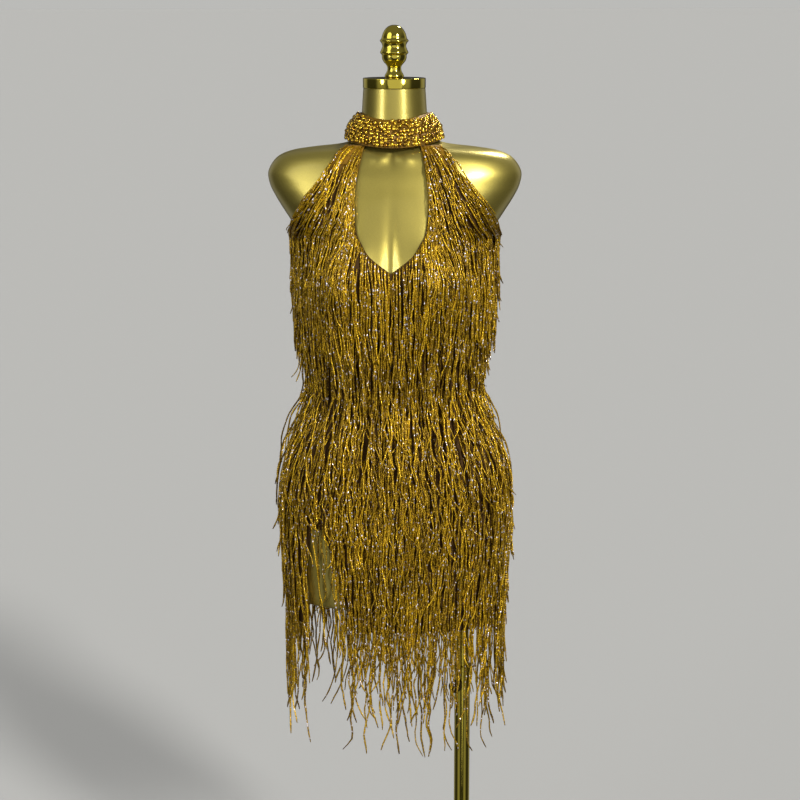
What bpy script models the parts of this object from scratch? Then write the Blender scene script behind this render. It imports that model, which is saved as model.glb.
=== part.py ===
"""Halter mini dress covered in bead fringe, on a limbless dress form with a telescoping stand.

Metres, +Z up; the front faces -Y. The origin is the centre of the base's underside, on the pole's axis.
Left and right are the wearer's, so the right side lies at -X. Angles run round the form's own axis from
+X, counterclockwise from above: 270 degrees is the centre front and 90 degrees the centre back.
"""

import math
import random
from collections import namedtuple
from functools import lru_cache

import bmesh
import bpy
from mathutils import Vector

# The form's axis stands beside the pole
FORM_X = -0.105
FRONT = 270.0
BACK = 90.0
COLUMNS = 32
COLUMN_DEG = 360.0 / COLUMNS

# Level sections of the form from the neck down, and of the skirt below the form's bottom edge
Ring = namedtuple("Ring", "z half_width front back square")
RINGS = [
    Ring(1.4353, 0.0455, 0.0450, 0.0470, 2.0),
    Ring(1.3780, 0.0500, 0.0475, 0.0520, 2.0),
    Ring(1.3640, 0.0570, 0.0495, 0.0560, 2.0),
    Ring(1.3570, 0.0700, 0.0515, 0.0600, 2.1),
    Ring(1.3525, 0.0920, 0.0540, 0.0640, 2.2),
    Ring(1.3490, 0.1250, 0.0570, 0.0680, 2.2),
    Ring(1.3440, 0.1550, 0.0610, 0.0720, 2.2),
    Ring(1.3340, 0.1750, 0.0670, 0.0770, 2.2),
    Ring(1.3150, 0.1870, 0.0760, 0.0840, 2.2),
    Ring(1.2960, 0.1850, 0.0830, 0.0900, 2.2),
    Ring(1.2790, 0.1770, 0.0890, 0.0940, 2.2),
    Ring(1.2580, 0.1640, 0.0950, 0.0980, 2.2),
    Ring(1.2360, 0.1500, 0.1000, 0.1010, 2.2),
    Ring(1.2190, 0.1420, 0.1030, 0.1020, 2.2),
    Ring(1.2000, 0.1400, 0.1060, 0.1020, 2.2),
    Ring(1.1770, 0.1405, 0.1080, 0.1010, 2.2),
    Ring(1.1550, 0.1425, 0.1080, 0.0990, 2.2),
    Ring(1.1330, 0.1430, 0.1060, 0.0970, 2.2),
    Ring(1.1100, 0.1410, 0.1020, 0.0940, 2.2),
    Ring(1.0850, 0.1370, 0.0970, 0.0900, 2.2),
    Ring(1.0550, 0.1310, 0.0910, 0.0860, 2.2),
    Ring(1.0200, 0.1250, 0.0870, 0.0830, 2.2),
    Ring(0.9860, 0.1220, 0.0850, 0.0830, 2.2),
    Ring(0.9550, 0.1250, 0.0860, 0.0870, 2.2),
    Ring(0.9250, 0.1350, 0.0900, 0.0950, 2.2),
    Ring(0.8900, 0.1500, 0.0955, 0.1060, 2.2),
    Ring(0.8500, 0.1620, 0.1000, 0.1160, 2.2),
    Ring(0.8100, 0.1680, 0.1020, 0.1210, 2.2),
    Ring(0.7750, 0.1690, 0.1020, 0.1210, 2.2),
    Ring(0.7150, 0.1655, 0.0990, 0.1150, 2.2),
    Ring(0.6580, 0.1610, 0.0950, 0.1060, 2.2),
    Ring(0.6265, 0.1590, 0.0930, 0.1020, 2.2),
]
FORM_BOTTOM = 30
HEM = 31
STRAP_TOP = 4
UNDERARM = 13
KEYHOLE_BOTTOM = 15
BACK_TOP_MIDDLE = 15
BACK_SECOND_ROW = 16
SLIT_TOP = 28

# The bust is a soft rise on each side of the centre front
BUST_RISE = 0.024
BUST_Z = 1.163
BUST_SPREAD_Z = 0.048
BUST_DEG = 32.0
BUST_SPREAD_DEG = 17.0

# Cloth walls
CLOTH_CLEAR = 0.0009
CLOTH_OUT = CLOTH_CLEAR + 0.0015
HALF_SEAM = 0.00015
SLIVER_DEG = 1.0
STRAP_EASE = 0.0016
EASE_FROM_Z = 1.175
EASE_TO_Z = 1.236

# Half widths of the keyhole and of the armhole edge, by height
Edge = namedtuple("Edge", "z half_width")
KEYHOLE = [
    Edge(1.3525, 0.0400),
    Edge(1.3440, 0.0430),
    Edge(1.3150, 0.0485),
    Edge(1.2790, 0.0530),
    Edge(1.2360, 0.0495),
    Edge(1.2190, 0.0420),
    Edge(1.2000, 0.0300),
    Edge(1.1770, 0.0000),
]
ARMHOLE = [
    Edge(1.3525, 0.0690),
    Edge(1.3440, 0.0770),
    Edge(1.3340, 0.0860),
    Edge(1.3150, 0.0980),
    Edge(1.2960, 0.1120),
    Edge(1.2790, 0.1260),
    Edge(1.2580, 0.1400),
    Edge(1.2360, 0.1465),
    Edge(1.2190, 0.1420),
]

# The slit in the right front: its two edges at the top and at the hem
SLIT_COLUMN = 3
SLIT_TOP_DEG = (213.0, 217.5)
SLIT_HEM_DEG = (200.5, 232.5)

# Stand collar: a band of stones round the neck, which swells between its foot and its top
COLLAR_COLUMNS = 48
COLLAR_ROWS = 7
COLLAR_FOOT_Z = 1.3530
COLLAR_TOP_Z = 1.3920
COLLAR_SIDE_LIFT = 0.0080
COLLAR_WALL = 0.0016
COLLAR_BULGE = 0.0055
STONE_RISE = 0.0019
STONE_FREE_DEG = 9.0
CollarRing = namedtuple("CollarRing", "half_width front back")
COLLAR_FOOT = CollarRing(0.0680, 0.0660, 0.0700)
COLLAR_TOP = CollarRing(0.0495, 0.0485, 0.0515)
BUTTON_HEIGHTS = (0.27, 0.73)
BUTTON_SLOPE_STEP = 0.05

# Fringe: each tape lies on the cloth, and its strands hang from the tape's lower edge
TAPE_IN = CLOTH_OUT + 0.0007
TAPE_OUT = TAPE_IN + 0.0012
TAPE_HEIGHT = 0.0070
NEAR_OUT = 0.0033
FAR_OUT = 0.0068
STRAND_DEPTH = 0.0020
TIP_DEPTH = 0.0014
TIP_WIDTH = 0.42
STRAND_FILL = 0.60
FREE_HANG = 0.60
LONGEST_STEP = 0.110
MOST_SAG = 0.0008
SHORTEST = 0.88
MOST_DRIFT = 0.7
FIRST_STOP = TAPE_HEIGHT * 2.0
TAPE_END_MARGIN = 0.002
OPEN_RING_MARGIN_DEG = 1.0
Tape = namedtuple("Tape", "name z length strands above_end below_top")
STRAP_TAPES = [
    Tape("fringe_strap_top", 1.3330, 0.090, 6, 1.3330, 1.2960),
    Tape("fringe_strap_mid", 1.2840, 0.115, 7, 1.2430, 1.2160),
    Tape("fringe_bust", 1.2060, 0.140, 9, 1.1690, 1.1090),
]
BACK_TAPE = Tape("fringe_back_top", 1.1500, 0.095, 14, 1.1500, 1.1090)
BACK_TAPE_DEG = (4.0, 176.0)
RING_TAPES = [
    Tape("fringe_ribs", 1.1030, 0.140, 28, 1.0660, 1.0160),
    Tape("fringe_waist", 1.0100, 0.150, 28, 0.9630, 0.9210),
    Tape("fringe_high_hip", 0.9150, 0.165, 32, 0.8600, 0.8210),
    Tape("fringe_low_hip", 0.8150, 0.180, 34, 0.7500, 0.6700),
]
HEM_TAPE = Tape("fringe_hem", 0.6540, 0.215, 40, 0.6350, 0.6000)

# Turned profiles: a radius and a height along the axis
Turn = namedtuple("Turn", "radius z")
BUTTON = [
    Turn(0.0038, 0.0000),
    Turn(0.0045, 0.0012),
    Turn(0.0027, 0.0030),
]
NECK_GAP = 0.0003
CAP_HEIGHT = 0.0144
CAP_RADIUS = 0.0460
CAP_EDGE = 0.0012
FINIAL = [
    Turn(0.0125, 0.0000),
    Turn(0.0139, 0.0022),
    Turn(0.0125, 0.0046),
    Turn(0.0097, 0.0092),
    Turn(0.0109, 0.0163),
    Turn(0.0160, 0.0225),
    Turn(0.0180, 0.0262),
    Turn(0.0170, 0.0300),
    Turn(0.0206, 0.0348),
    Turn(0.0172, 0.0437),
    Turn(0.0208, 0.0526),
    Turn(0.0176, 0.0590),
    Turn(0.0165, 0.0650),
    Turn(0.0130, 0.0710),
    Turn(0.0075, 0.0745),
    Turn(0.0020, 0.0757),
]

# Stand
BASE_RADIUS = 0.180
BASE_HEIGHT = 0.008
BASE_EDGE = 0.003
FLANGE_RADIUS = 0.032
FLANGE_NECK = 0.0165
FLANGE_RIM = 0.0066
FLANGE_SHOULDER = 0.0132
FLANGE_HEIGHT = 0.0220
TUBE_RADIUS = 0.0122
TUBE_BORE = 0.0100
TUBE_TOP = 0.542
TUBE_LIP = 0.0136
LIP_HEIGHT = 0.010
ROD_RADIUS = 0.0095
ROD_BOTTOM = 0.240
SOCKET_DEPTH = 0.080
CUTTER_OVERRUN = 0.010
FIT = 0.0003
SCREW_Z = 0.512
SCREW_DEG = 240.0
SCREW_SHANK = 0.0030
KNOB_RADIUS = 0.0095
KNOB_START = 0.0150
KNOB_END = 0.0270
KNOB_EDGE = 0.0015
ROUND = 24
FINIAL_ROUND = 16
BASE_ROUND = 36
SMALL_ROUND = 12
SMOOTH_DEG = 35.0
PIVOT_SIZE = 0.05
HALVINGS = 30

rng = random.Random(7)


def clear_scene():
    for obj in list(bpy.data.objects):
        bpy.data.objects.remove(obj, do_unlink=True)


def finish_material(name, colour, roughness, metallic):
    material = bpy.data.materials.new(name)
    material.use_nodes = True
    shader = material.node_tree.nodes["Principled BSDF"]
    shader.inputs["Base Color"].default_value = (*colour, 1.0)
    shader.inputs["Roughness"].default_value = roughness
    shader.inputs["Metallic"].default_value = metallic
    material.diffuse_color = (*colour, 1.0)
    return material


def add_object(name, bm, material, parent=None, smooth=True):
    mesh = bpy.data.meshes.new(name)
    bm.to_mesh(mesh)
    bm.free()
    mesh.materials.append(material)
    if smooth:
        mesh.shade_smooth()
        mesh.set_sharp_from_angle(angle=math.radians(SMOOTH_DEG))
    obj = bpy.data.objects.new(name, mesh)
    bpy.context.collection.objects.link(obj)
    obj.parent = parent
    return obj


def cut_away(obj, cutter):
    cutter.hide_render = True
    cutter.display_type = "WIRE"
    cut = obj.modifiers.new(cutter.name, "BOOLEAN")
    cut.operation = "DIFFERENCE"
    cut.solver = "EXACT"
    cut.object = cutter


def add_pivot(name):
    """An empty on the pole's axis, which carries what turns and slides there."""
    pivot = bpy.data.objects.new(name, None)
    pivot.empty_display_size = PIVOT_SIZE
    bpy.context.collection.objects.link(pivot)
    return pivot


def by_height(edges, z):
    """The half width at a height, straight between the rows of a table that runs down."""
    z = min(max(z, edges[-1].z), edges[0].z)
    for high, low in zip(edges, edges[1:]):
        if z >= low.z:
            share = (high.z - z) / (high.z - low.z)
            return high.half_width + (low.half_width - high.half_width) * share
    return edges[-1].half_width


def oval_radius(half_width, depth, square, deg):
    angle = math.radians(deg)
    across = (abs(math.cos(angle)) / half_width) ** square
    deep = (abs(math.sin(angle)) / depth) ** square
    return (across + deep) ** (-1.0 / square)


def bust_rise(z, deg):
    rise = 0.0
    for side in (-1, 1):
        away = (deg % 360.0) - (FRONT + side * BUST_DEG)
        rise += math.exp(-((away / BUST_SPREAD_DEG) ** 2) - ((z - BUST_Z) / BUST_SPREAD_Z) ** 2)
    return BUST_RISE * rise


def form_point(row, deg):
    ring = RINGS[row]
    depth = ring.front if math.sin(math.radians(deg)) < 0 else ring.back
    radius = oval_radius(ring.half_width, depth, ring.square, deg) + bust_rise(ring.z, deg)
    angle = math.radians(deg)
    return Vector((FORM_X + radius * math.cos(angle), radius * math.sin(angle), ring.z))


def form_normal(row, deg):
    above = form_point(max(row - 1, 0), deg)
    below = form_point(min(row + 1, HEM), deg)
    along = form_point(row, deg + 1.0) - form_point(row, deg - 1.0)
    return along.cross(above - below).normalized()


def reach(point):
    return math.hypot(point.x - FORM_X, point.y)


def seat_point(row, deg, out):
    """The point this far out from the cloth's seat on the round form, on a ring."""
    return form_point(row, deg) + form_normal(row, deg) * (out + ease(RINGS[row].z))


def ease(z):
    """How much further off the form the straps lie than the body of the dress."""
    share = (z - EASE_FROM_Z) / (EASE_TO_Z - EASE_FROM_Z)
    return STRAP_EASE * min(max(share, 0.0), 1.0)


@lru_cache(maxsize=None)
def corner(row, column):
    """A corner of the form's faces, and the way out from it."""
    deg = COLUMN_DEG * column
    return form_point(row, deg), form_normal(row, deg)


@lru_cache(maxsize=None)
def outermost(row, deg, out):
    """The point this far out from the round form or from its flat faces, whichever lies further out."""
    return max(seat_point(row, deg, out), off_form(row, deg, out), key=reach)


def off_form(row, deg, out):
    """The point this far out from the cloth's seat on the form's faces, on a ring."""
    share, column = math.modf((deg % 360.0) / COLUMN_DEG)
    here, away = corner(row, int(column))
    there, away_there = corner(row, (int(column) + 1) % COLUMNS)
    far = out + ease(RINGS[row].z)
    return (here + away * far).lerp(there + away_there * far, share)


def row_below(z):
    for row in range(HEM):
        if z >= RINGS[row + 1].z:
            return row
    return HEM - 1


def on_wall(z, deg, out):
    """The point this far out from the form at any height, straight between two rings."""
    z = max(z, RINGS[HEM].z)
    row = row_below(z)
    share = (RINGS[row].z - z) / (RINGS[row].z - RINGS[row + 1].z)
    return outermost(row, deg, out).lerp(outermost(row + 1, deg, out), share)


def hanging(top_z, z, deg, out):
    """A strand's point: on the cloth where that widens, and partly hanging clear where it narrows."""
    on_cloth = on_wall(z, deg, out)
    widest = reach(on_cloth)
    for row in range(row_below(top_z) + 1, row_below(z) + 1):
        widest = max(widest, reach(outermost(row, deg, out)))
    widest = max(widest, reach(on_wall(top_z, deg, out)))
    stretch = 1.0 + (widest / reach(on_cloth) - 1.0) * FREE_HANG
    height = on_cloth.z if z >= RINGS[HEM].z else z
    return Vector((FORM_X + (on_cloth.x - FORM_X) * stretch, on_cloth.y * stretch, height))


def angle_at(z, half_width):
    """The angle on the left front where the form's surface is this far out to the side."""
    low, high = FRONT, 360.0
    for _ in range(HALVINGS):
        middle = (low + high) / 2.0
        if on_wall(z, middle, 0.0).x - FORM_X < half_width:
            low = middle
        else:
            high = middle
    return low


def mirrored(degrees):
    return [540.0 - deg for deg in reversed(degrees)]


def spread(start, end, steps):
    return [start + (end - start) * i / steps for i in range(steps + 1)]


def seam_deg(row, deg):
    """Half a seam's gap, as an angle at this point of a ring."""
    return math.degrees(HALF_SEAM / reach(form_point(row, deg)))


def held_between(columns, low, high):
    """The form's own columns, with those past an edge of the cloth drawn in beside it."""
    held = []
    for c, deg in enumerate(columns):
        least = low + SLIVER_DEG * c
        most = high - SLIVER_DEG * (len(columns) - 1 - c)
        held.append(min(max(deg, least), most))
    return held


def front_edges(row):
    """The angles of the left front's edges: the centre or keyhole, and the side or armhole."""
    z = RINGS[row].z
    inner = FRONT + seam_deg(row, FRONT)
    if row < KEYHOLE_BOTTOM:
        inner = angle_at(z, by_height(KEYHOLE, z))
    outer = 360.0 - seam_deg(row, 0.0)
    if row < UNDERARM:
        outer = angle_at(z, by_height(ARMHOLE, z))
    return inner, outer


def left_columns(row):
    """The angles of one row of the left front, from the centre out to the side."""
    return held_between(spread(FRONT, 360.0, COLUMNS // 4), *front_edges(row))


def right_columns(row):
    """The angles of one row of the right front, from the side in, with the slit's edges apart."""
    columns = sorted(spread(180.0, FRONT, COLUMNS // 4) + [SLIT_TOP_DEG[1]])
    if row < SLIT_TOP:
        return held_between(columns, *mirrored(front_edges(row)))
    down = (RINGS[SLIT_TOP].z - RINGS[row].z) / (RINGS[SLIT_TOP].z - RINGS[HEM].z)
    low, high = (top + (hem - top) * down for top, hem in zip(SLIT_TOP_DEG, SLIT_HEM_DEG))
    start, end = mirrored(front_edges(row))
    side, middle = columns[: SLIT_COLUMN + 1], columns[SLIT_COLUMN + 1 :]
    return held_between(side, start, low) + held_between(middle, high, end)


def add_cell(bm, a, b, c, d, inwards=False):
    """A cell of a wall as two triangles, split the same way on the form and on all that lies on it."""
    for corners in ((a, b, c), (a, c, d)):
        bm.faces.new(reversed(corners) if inwards else corners)


def wall_mesh(outer, inner, missing=()):
    """A closed wall through two grids of points, rows running down and columns counterclockwise."""
    bm = bmesh.new()
    out = [[bm.verts.new(p) for p in row] for row in outer]
    ins = [[bm.verts.new(p) for p in row] for row in inner]
    cells = {
        (r, c)
        for r in range(len(outer) - 1)
        for c in range(len(outer[0]) - 1)
        if (r, c) not in missing
    }
    for r, c in cells:
        corners = [(r, c), (r + 1, c), (r + 1, c + 1), (r, c + 1)]
        beside = [(r, c - 1), (r + 1, c), (r, c + 1), (r - 1, c)]
        add_cell(bm, *[out[i][j] for i, j in corners])
        add_cell(bm, *[ins[i][j] for i, j in corners], inwards=True)
        for k, cell in enumerate(beside):
            if cell in cells:
                continue
            (i, j), (m, n) = corners[k], corners[(k + 1) % 4]
            bm.faces.new([out[m][n], out[i][j], ins[i][j], ins[m][n]])
    for vert in [v for v in bm.verts if not v.link_faces]:
        bm.verts.remove(vert)
    return bm


def panel_mesh(rows, columns, missing=()):
    outer = [[off_form(row, deg, CLOTH_OUT) for deg in columns(row)] for row in rows]
    inner = [[off_form(row, deg, CLOTH_CLEAR) for deg in columns(row)] for row in rows]
    return wall_mesh(outer, inner, missing)


def back_columns(row):
    return spread(seam_deg(row, 0.0), 180.0 - seam_deg(row, 180.0), COLUMNS // 2)


def back_mesh():
    """The back panel: its upper edge dips from the underarms to the centre back."""
    rows = range(BACK_SECOND_ROW, HEM + 1)
    high, low = RINGS[UNDERARM].z, RINGS[BACK_TOP_MIDDLE].z
    grids = []
    for out in (CLOTH_OUT, CLOTH_CLEAR):
        top = []
        for deg in back_columns(UNDERARM):
            dip = math.sin(math.radians(deg)) ** 2
            top.append(on_wall(high + (low - high) * dip, deg, out))
        grids.append([top] + [[off_form(row, deg, out) for deg in back_columns(row)] for row in rows])
    return wall_mesh(*grids)


def torso_mesh():
    bm = bmesh.new()
    rows = []
    for row in range(FORM_BOTTOM + 1):
        rows.append([bm.verts.new(form_point(row, COLUMN_DEG * c)) for c in range(COLUMNS)])
    for high, low in zip(rows, rows[1:]):
        for c in range(COLUMNS):
            d = (c + 1) % COLUMNS
            add_cell(bm, high[c], low[c], low[d], high[d])
    bm.faces.new(rows[0])
    bm.faces.new(list(reversed(rows[-1])))
    return bm


def turned_mesh(profile, sides, closed_loop=False):
    """A solid turned round Z: the profile runs up its outer side, or round its whole section."""
    bm = bmesh.new()
    rings = []
    for turn in profile:
        ring = []
        for c in range(sides):
            angle = 2.0 * math.pi * c / sides
            x, y = turn.radius * math.cos(angle), turn.radius * math.sin(angle)
            ring.append(bm.verts.new((x, y, turn.z)))
        rings.append(ring)
    pairs = list(zip(rings, rings[1:]))
    if closed_loop:
        pairs.append((rings[-1], rings[0]))
    for low, high in pairs:
        for c in range(sides):
            d = (c + 1) % sides
            bm.faces.new([low[c], low[d], high[d], high[c]])
    if not closed_loop:
        bm.faces.new(list(reversed(rings[0])))
        bm.faces.new(rings[-1])
    return bm


def collar_point(height, deg, out):
    """A point of the collar: height runs from 0 at its foot to 1 at its top."""
    back = math.sin(math.radians(deg)) > 0
    radii = []
    for ring in (COLLAR_FOOT, COLLAR_TOP):
        radii.append(oval_radius(ring.half_width, ring.back if back else ring.front, 2.0, deg))
    bulge = 4.0 * COLLAR_BULGE * height * (1.0 - height)
    radius = radii[0] + (radii[1] - radii[0]) * height + bulge + out
    angle = math.radians(deg)
    lift = COLLAR_SIDE_LIFT * math.cos(angle) ** 2
    z = COLLAR_FOOT_Z + (COLLAR_TOP_Z - COLLAR_FOOT_Z) * height + lift
    return Vector((FORM_X + radius * math.cos(angle), radius * math.sin(angle), z))


def collar_mesh():
    """The collar: every other point of its outer side is raised as a stone, and its inner side is plain."""
    seam = math.degrees(HALF_SEAM / COLLAR_FOOT.back)
    columns = spread(BACK + seam, BACK + 360.0 - seam, COLLAR_COLUMNS)
    bm = bmesh.new()
    outer = []
    for r in range(COLLAR_ROWS + 1):
        row = []
        for c, deg in enumerate(columns):
            plain = r in (0, COLLAR_ROWS) or min(deg - BACK, BACK + 360.0 - deg) < STONE_FREE_DEG
            rise = STONE_RISE if (r + c) % 2 and not plain else 0.0
            row.append(bm.verts.new(collar_point(1.0 - r / COLLAR_ROWS, deg, COLLAR_WALL + rise)))
        outer.append(row)
    inner = [[bm.verts.new(collar_point(height, deg, 0.0)) for deg in columns] for height in (1.0, 0.0)]
    for c in range(COLLAR_COLUMNS):
        for high, low in zip(outer, outer[1:]):
            bm.faces.new([high[c], low[c], low[c + 1], high[c + 1]])
        bm.faces.new([inner[0][c], inner[0][c + 1], inner[1][c + 1], inner[1][c]])
        bm.faces.new([outer[0][c], outer[0][c + 1], inner[0][c + 1], inner[0][c]])
        bm.faces.new([outer[-1][c + 1], outer[-1][c], inner[1][c], inner[1][c + 1]])
    start = [row[0] for row in outer] + [inner[1][0], inner[0][0]]
    end = [row[-1] for row in outer] + [inner[1][-1], inner[0][-1]]
    bm.faces.new(list(reversed(start)))
    bm.faces.new(end)
    return bm


def strand_levels(tape, length):
    """Heights and distances out at which a strand has its sections, from the tape down."""
    end = tape.z - length
    near = min(tape.above_end, tape.z - FIRST_STOP)
    stops = [(tape.z - TAPE_HEIGHT, TAPE_IN), (near, NEAR_OUT)]
    if tape.below_top > end + TAPE_HEIGHT:
        stops.append((tape.below_top, FAR_OUT))
    stops.append((end, FAR_OUT))
    levels = []
    for (z, out), (next_z, next_out) in zip(stops, stops[1:]):
        steps = max(1, math.ceil((z - next_z) / LONGEST_STEP))
        for i in range(1, steps + 1):
            levels.append((z + (next_z - z) * i / steps, out + (next_out - out) * i / steps))
    return levels


def bent_round_body(tape, levels, deg):
    """The levels, and one more at each ring of the form where the strand would cut the corner."""
    bent = [(tape.z - TAPE_HEIGHT, TAPE_IN)]
    for z, out in levels:
        for row in range(row_below(bent[-1][0]) + 1, row_below(z) + 1):
            last_z, last_out = bent[-1]
            share = (last_z - RINGS[row].z) / (last_z - z)
            start = reach(hanging(tape.z, last_z, deg, last_out))
            straight = start + (reach(hanging(tape.z, z, deg, out)) - start) * share
            out_here = last_out + (out - last_out) * share
            if straight < reach(hanging(tape.z, RINGS[row].z, deg, out_here)) - MOST_SAG:
                bent.append((RINGS[row].z, out_here))
        bent.append((z, out))
    return bent[1:]


def tape_mesh(tape, start_deg, end_deg, closed=False):
    """A tape on the cloth and its strands, which grow out of the tape's lower edge."""
    bm = bmesh.new()
    count = tape.strands
    pitch = (end_deg - start_deg) / count
    columns = []
    for k in range(count):
        first = start_deg + pitch * (k + (1.0 - STRAND_FILL) / 2.0)
        columns += [first, first + pitch * STRAND_FILL]
    if not closed:
        columns = [start_deg] + columns + [end_deg]
    loops = []
    for deg in columns:
        loop = []
        for z, out in (
            (tape.z, TAPE_IN),
            (tape.z - TAPE_HEIGHT, TAPE_OUT),
            (tape.z - TAPE_HEIGHT, TAPE_IN),
        ):
            loop.append(bm.verts.new(on_wall(z, deg, out)))
        loops.append(loop)
    spans = len(loops) if closed else len(loops) - 1
    for c in range(spans):
        here, there = loops[c], loops[(c + 1) % len(loops)]
        rooted = c % 2 == 0 if closed else c % 2 == 1
        for k in range(3):
            n = (k + 1) % 3
            if k == 1 and rooted:
                continue
            bm.faces.new([here[k], here[n], there[n], there[k]])
        if rooted:
            add_strand(bm, tape, columns[c], columns[c + 1], [here[1], here[2], there[2], there[1]])
    if not closed:
        bm.faces.new(list(reversed(loops[0])))
        bm.faces.new(loops[-1])
    return bm


def add_strand(bm, tape, left, right, root):
    """One strand of four sides, from its root on the tape to its tip."""
    middle = (left + right) / 2.0
    half = (right - left) / 2.0
    length = tape.length * rng.uniform(SHORTEST, 1.0)
    drift = rng.uniform(-MOST_DRIFT, MOST_DRIFT) * half
    section = root
    levels = bent_round_body(tape, strand_levels(tape, length), middle)
    top = tape.z - TAPE_HEIGHT
    for z, out in levels:
        share = (top - z) / (top - levels[-1][0])
        width = half * (1.0 + (TIP_WIDTH - 1.0) * share)
        depth = STRAND_DEPTH + (TIP_DEPTH - STRAND_DEPTH) * share
        turn = middle + drift * share
        corners = (
            (turn - width, out + depth),
            (turn - width, out),
            (turn + width, out),
            (turn + width, out + depth),
        )
        lower = [bm.verts.new(hanging(tape.z, z, deg, away)) for deg, away in corners]
        for k in range(4):
            n = (k + 1) % 4
            bm.faces.new([section[k], section[n], lower[n], lower[k]])
        section = lower
    bm.faces.new(section)


def build_form(form, satin, plated):
    torso = add_object("form_torso", torso_mesh(), satin, form)
    bottom = RINGS[FORM_BOTTOM].z
    bore = ROD_RADIUS + FIT
    socket = turned_mesh([Turn(bore, bottom - CUTTER_OVERRUN), Turn(bore, bottom + SOCKET_DEPTH)], ROUND)
    cut_away(torso, add_object("socket_cutter", socket, satin))
    neck = RINGS[0].z + NECK_GAP
    cap = [
        Turn(CAP_RADIUS - CAP_EDGE, 0.0),
        Turn(CAP_RADIUS, CAP_EDGE),
        Turn(CAP_RADIUS, CAP_HEIGHT - CAP_EDGE),
        Turn(CAP_RADIUS - CAP_EDGE, CAP_HEIGHT),
    ]
    cap_object = add_object("neck_cap", turned_mesh(cap, ROUND), plated, form)
    cap_object.location = (FORM_X, 0.0, neck)
    finial = add_object("finial", turned_mesh(FINIAL, FINIAL_ROUND), plated, form)
    finial.location = (FORM_X, 0.0, neck + CAP_HEIGHT + FIT)


def build_cloth(form, cloth):
    rows = range(STRAP_TOP, HEM + 1)
    slit = {(row - STRAP_TOP, SLIT_COLUMN) for row in range(SLIT_TOP, HEM)}
    add_object("front_left", panel_mesh(rows, left_columns), cloth, form)
    add_object("front_right", panel_mesh(rows, right_columns, slit), cloth, form)
    add_object("back", back_mesh(), cloth, form)


def build_collar(form, stones, plated):
    add_object("collar_band", collar_mesh(), stones, form, smooth=False)
    for name, height in zip(("collar_button_lower", "collar_button_upper"), BUTTON_HEIGHTS):
        button = add_object(name, turned_mesh(BUTTON, SMALL_ROUND), plated, form)
        below = collar_point(height - BUTTON_SLOPE_STEP, BACK, COLLAR_WALL)
        above = collar_point(height + BUTTON_SLOPE_STEP, BACK, COLLAR_WALL)
        slope = math.atan2(below.y - above.y, above.z - below.z)
        lean = Vector((0.0, math.cos(slope), math.sin(slope)))
        button.location = collar_point(height, BACK, COLLAR_WALL) + lean * FIT
        button.rotation_euler = (slope - math.pi / 2.0, 0.0, 0.0)


def build_fringe(form, fringe):
    for tape in STRAP_TAPES:
        low = tape.z - TAPE_HEIGHT
        margin = math.degrees(TAPE_END_MARGIN / reach(on_wall(tape.z, FRONT, 0.0)))
        inner = max(angle_at(z, by_height(KEYHOLE, z)) for z in (tape.z, low)) + margin
        outer = min(angle_at(z, by_height(ARMHOLE, z)) for z in (tape.z, low)) - margin
        add_object(tape.name + "_left", tape_mesh(tape, inner, outer), fringe, form, smooth=False)
        start, end = mirrored([inner, outer])
        add_object(tape.name + "_right", tape_mesh(tape, start, end), fringe, form, smooth=False)
    add_object(BACK_TAPE.name, tape_mesh(BACK_TAPE, *BACK_TAPE_DEG), fringe, form, smooth=False)
    for tape in RING_TAPES:
        add_object(tape.name, tape_mesh(tape, 0.0, 360.0, closed=True), fringe, form, smooth=False)
    start = SLIT_HEM_DEG[1] + OPEN_RING_MARGIN_DEG
    end = SLIT_HEM_DEG[0] + 360.0 - OPEN_RING_MARGIN_DEG
    add_object(HEM_TAPE.name, tape_mesh(HEM_TAPE, start, end), fringe, form, smooth=False)


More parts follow.
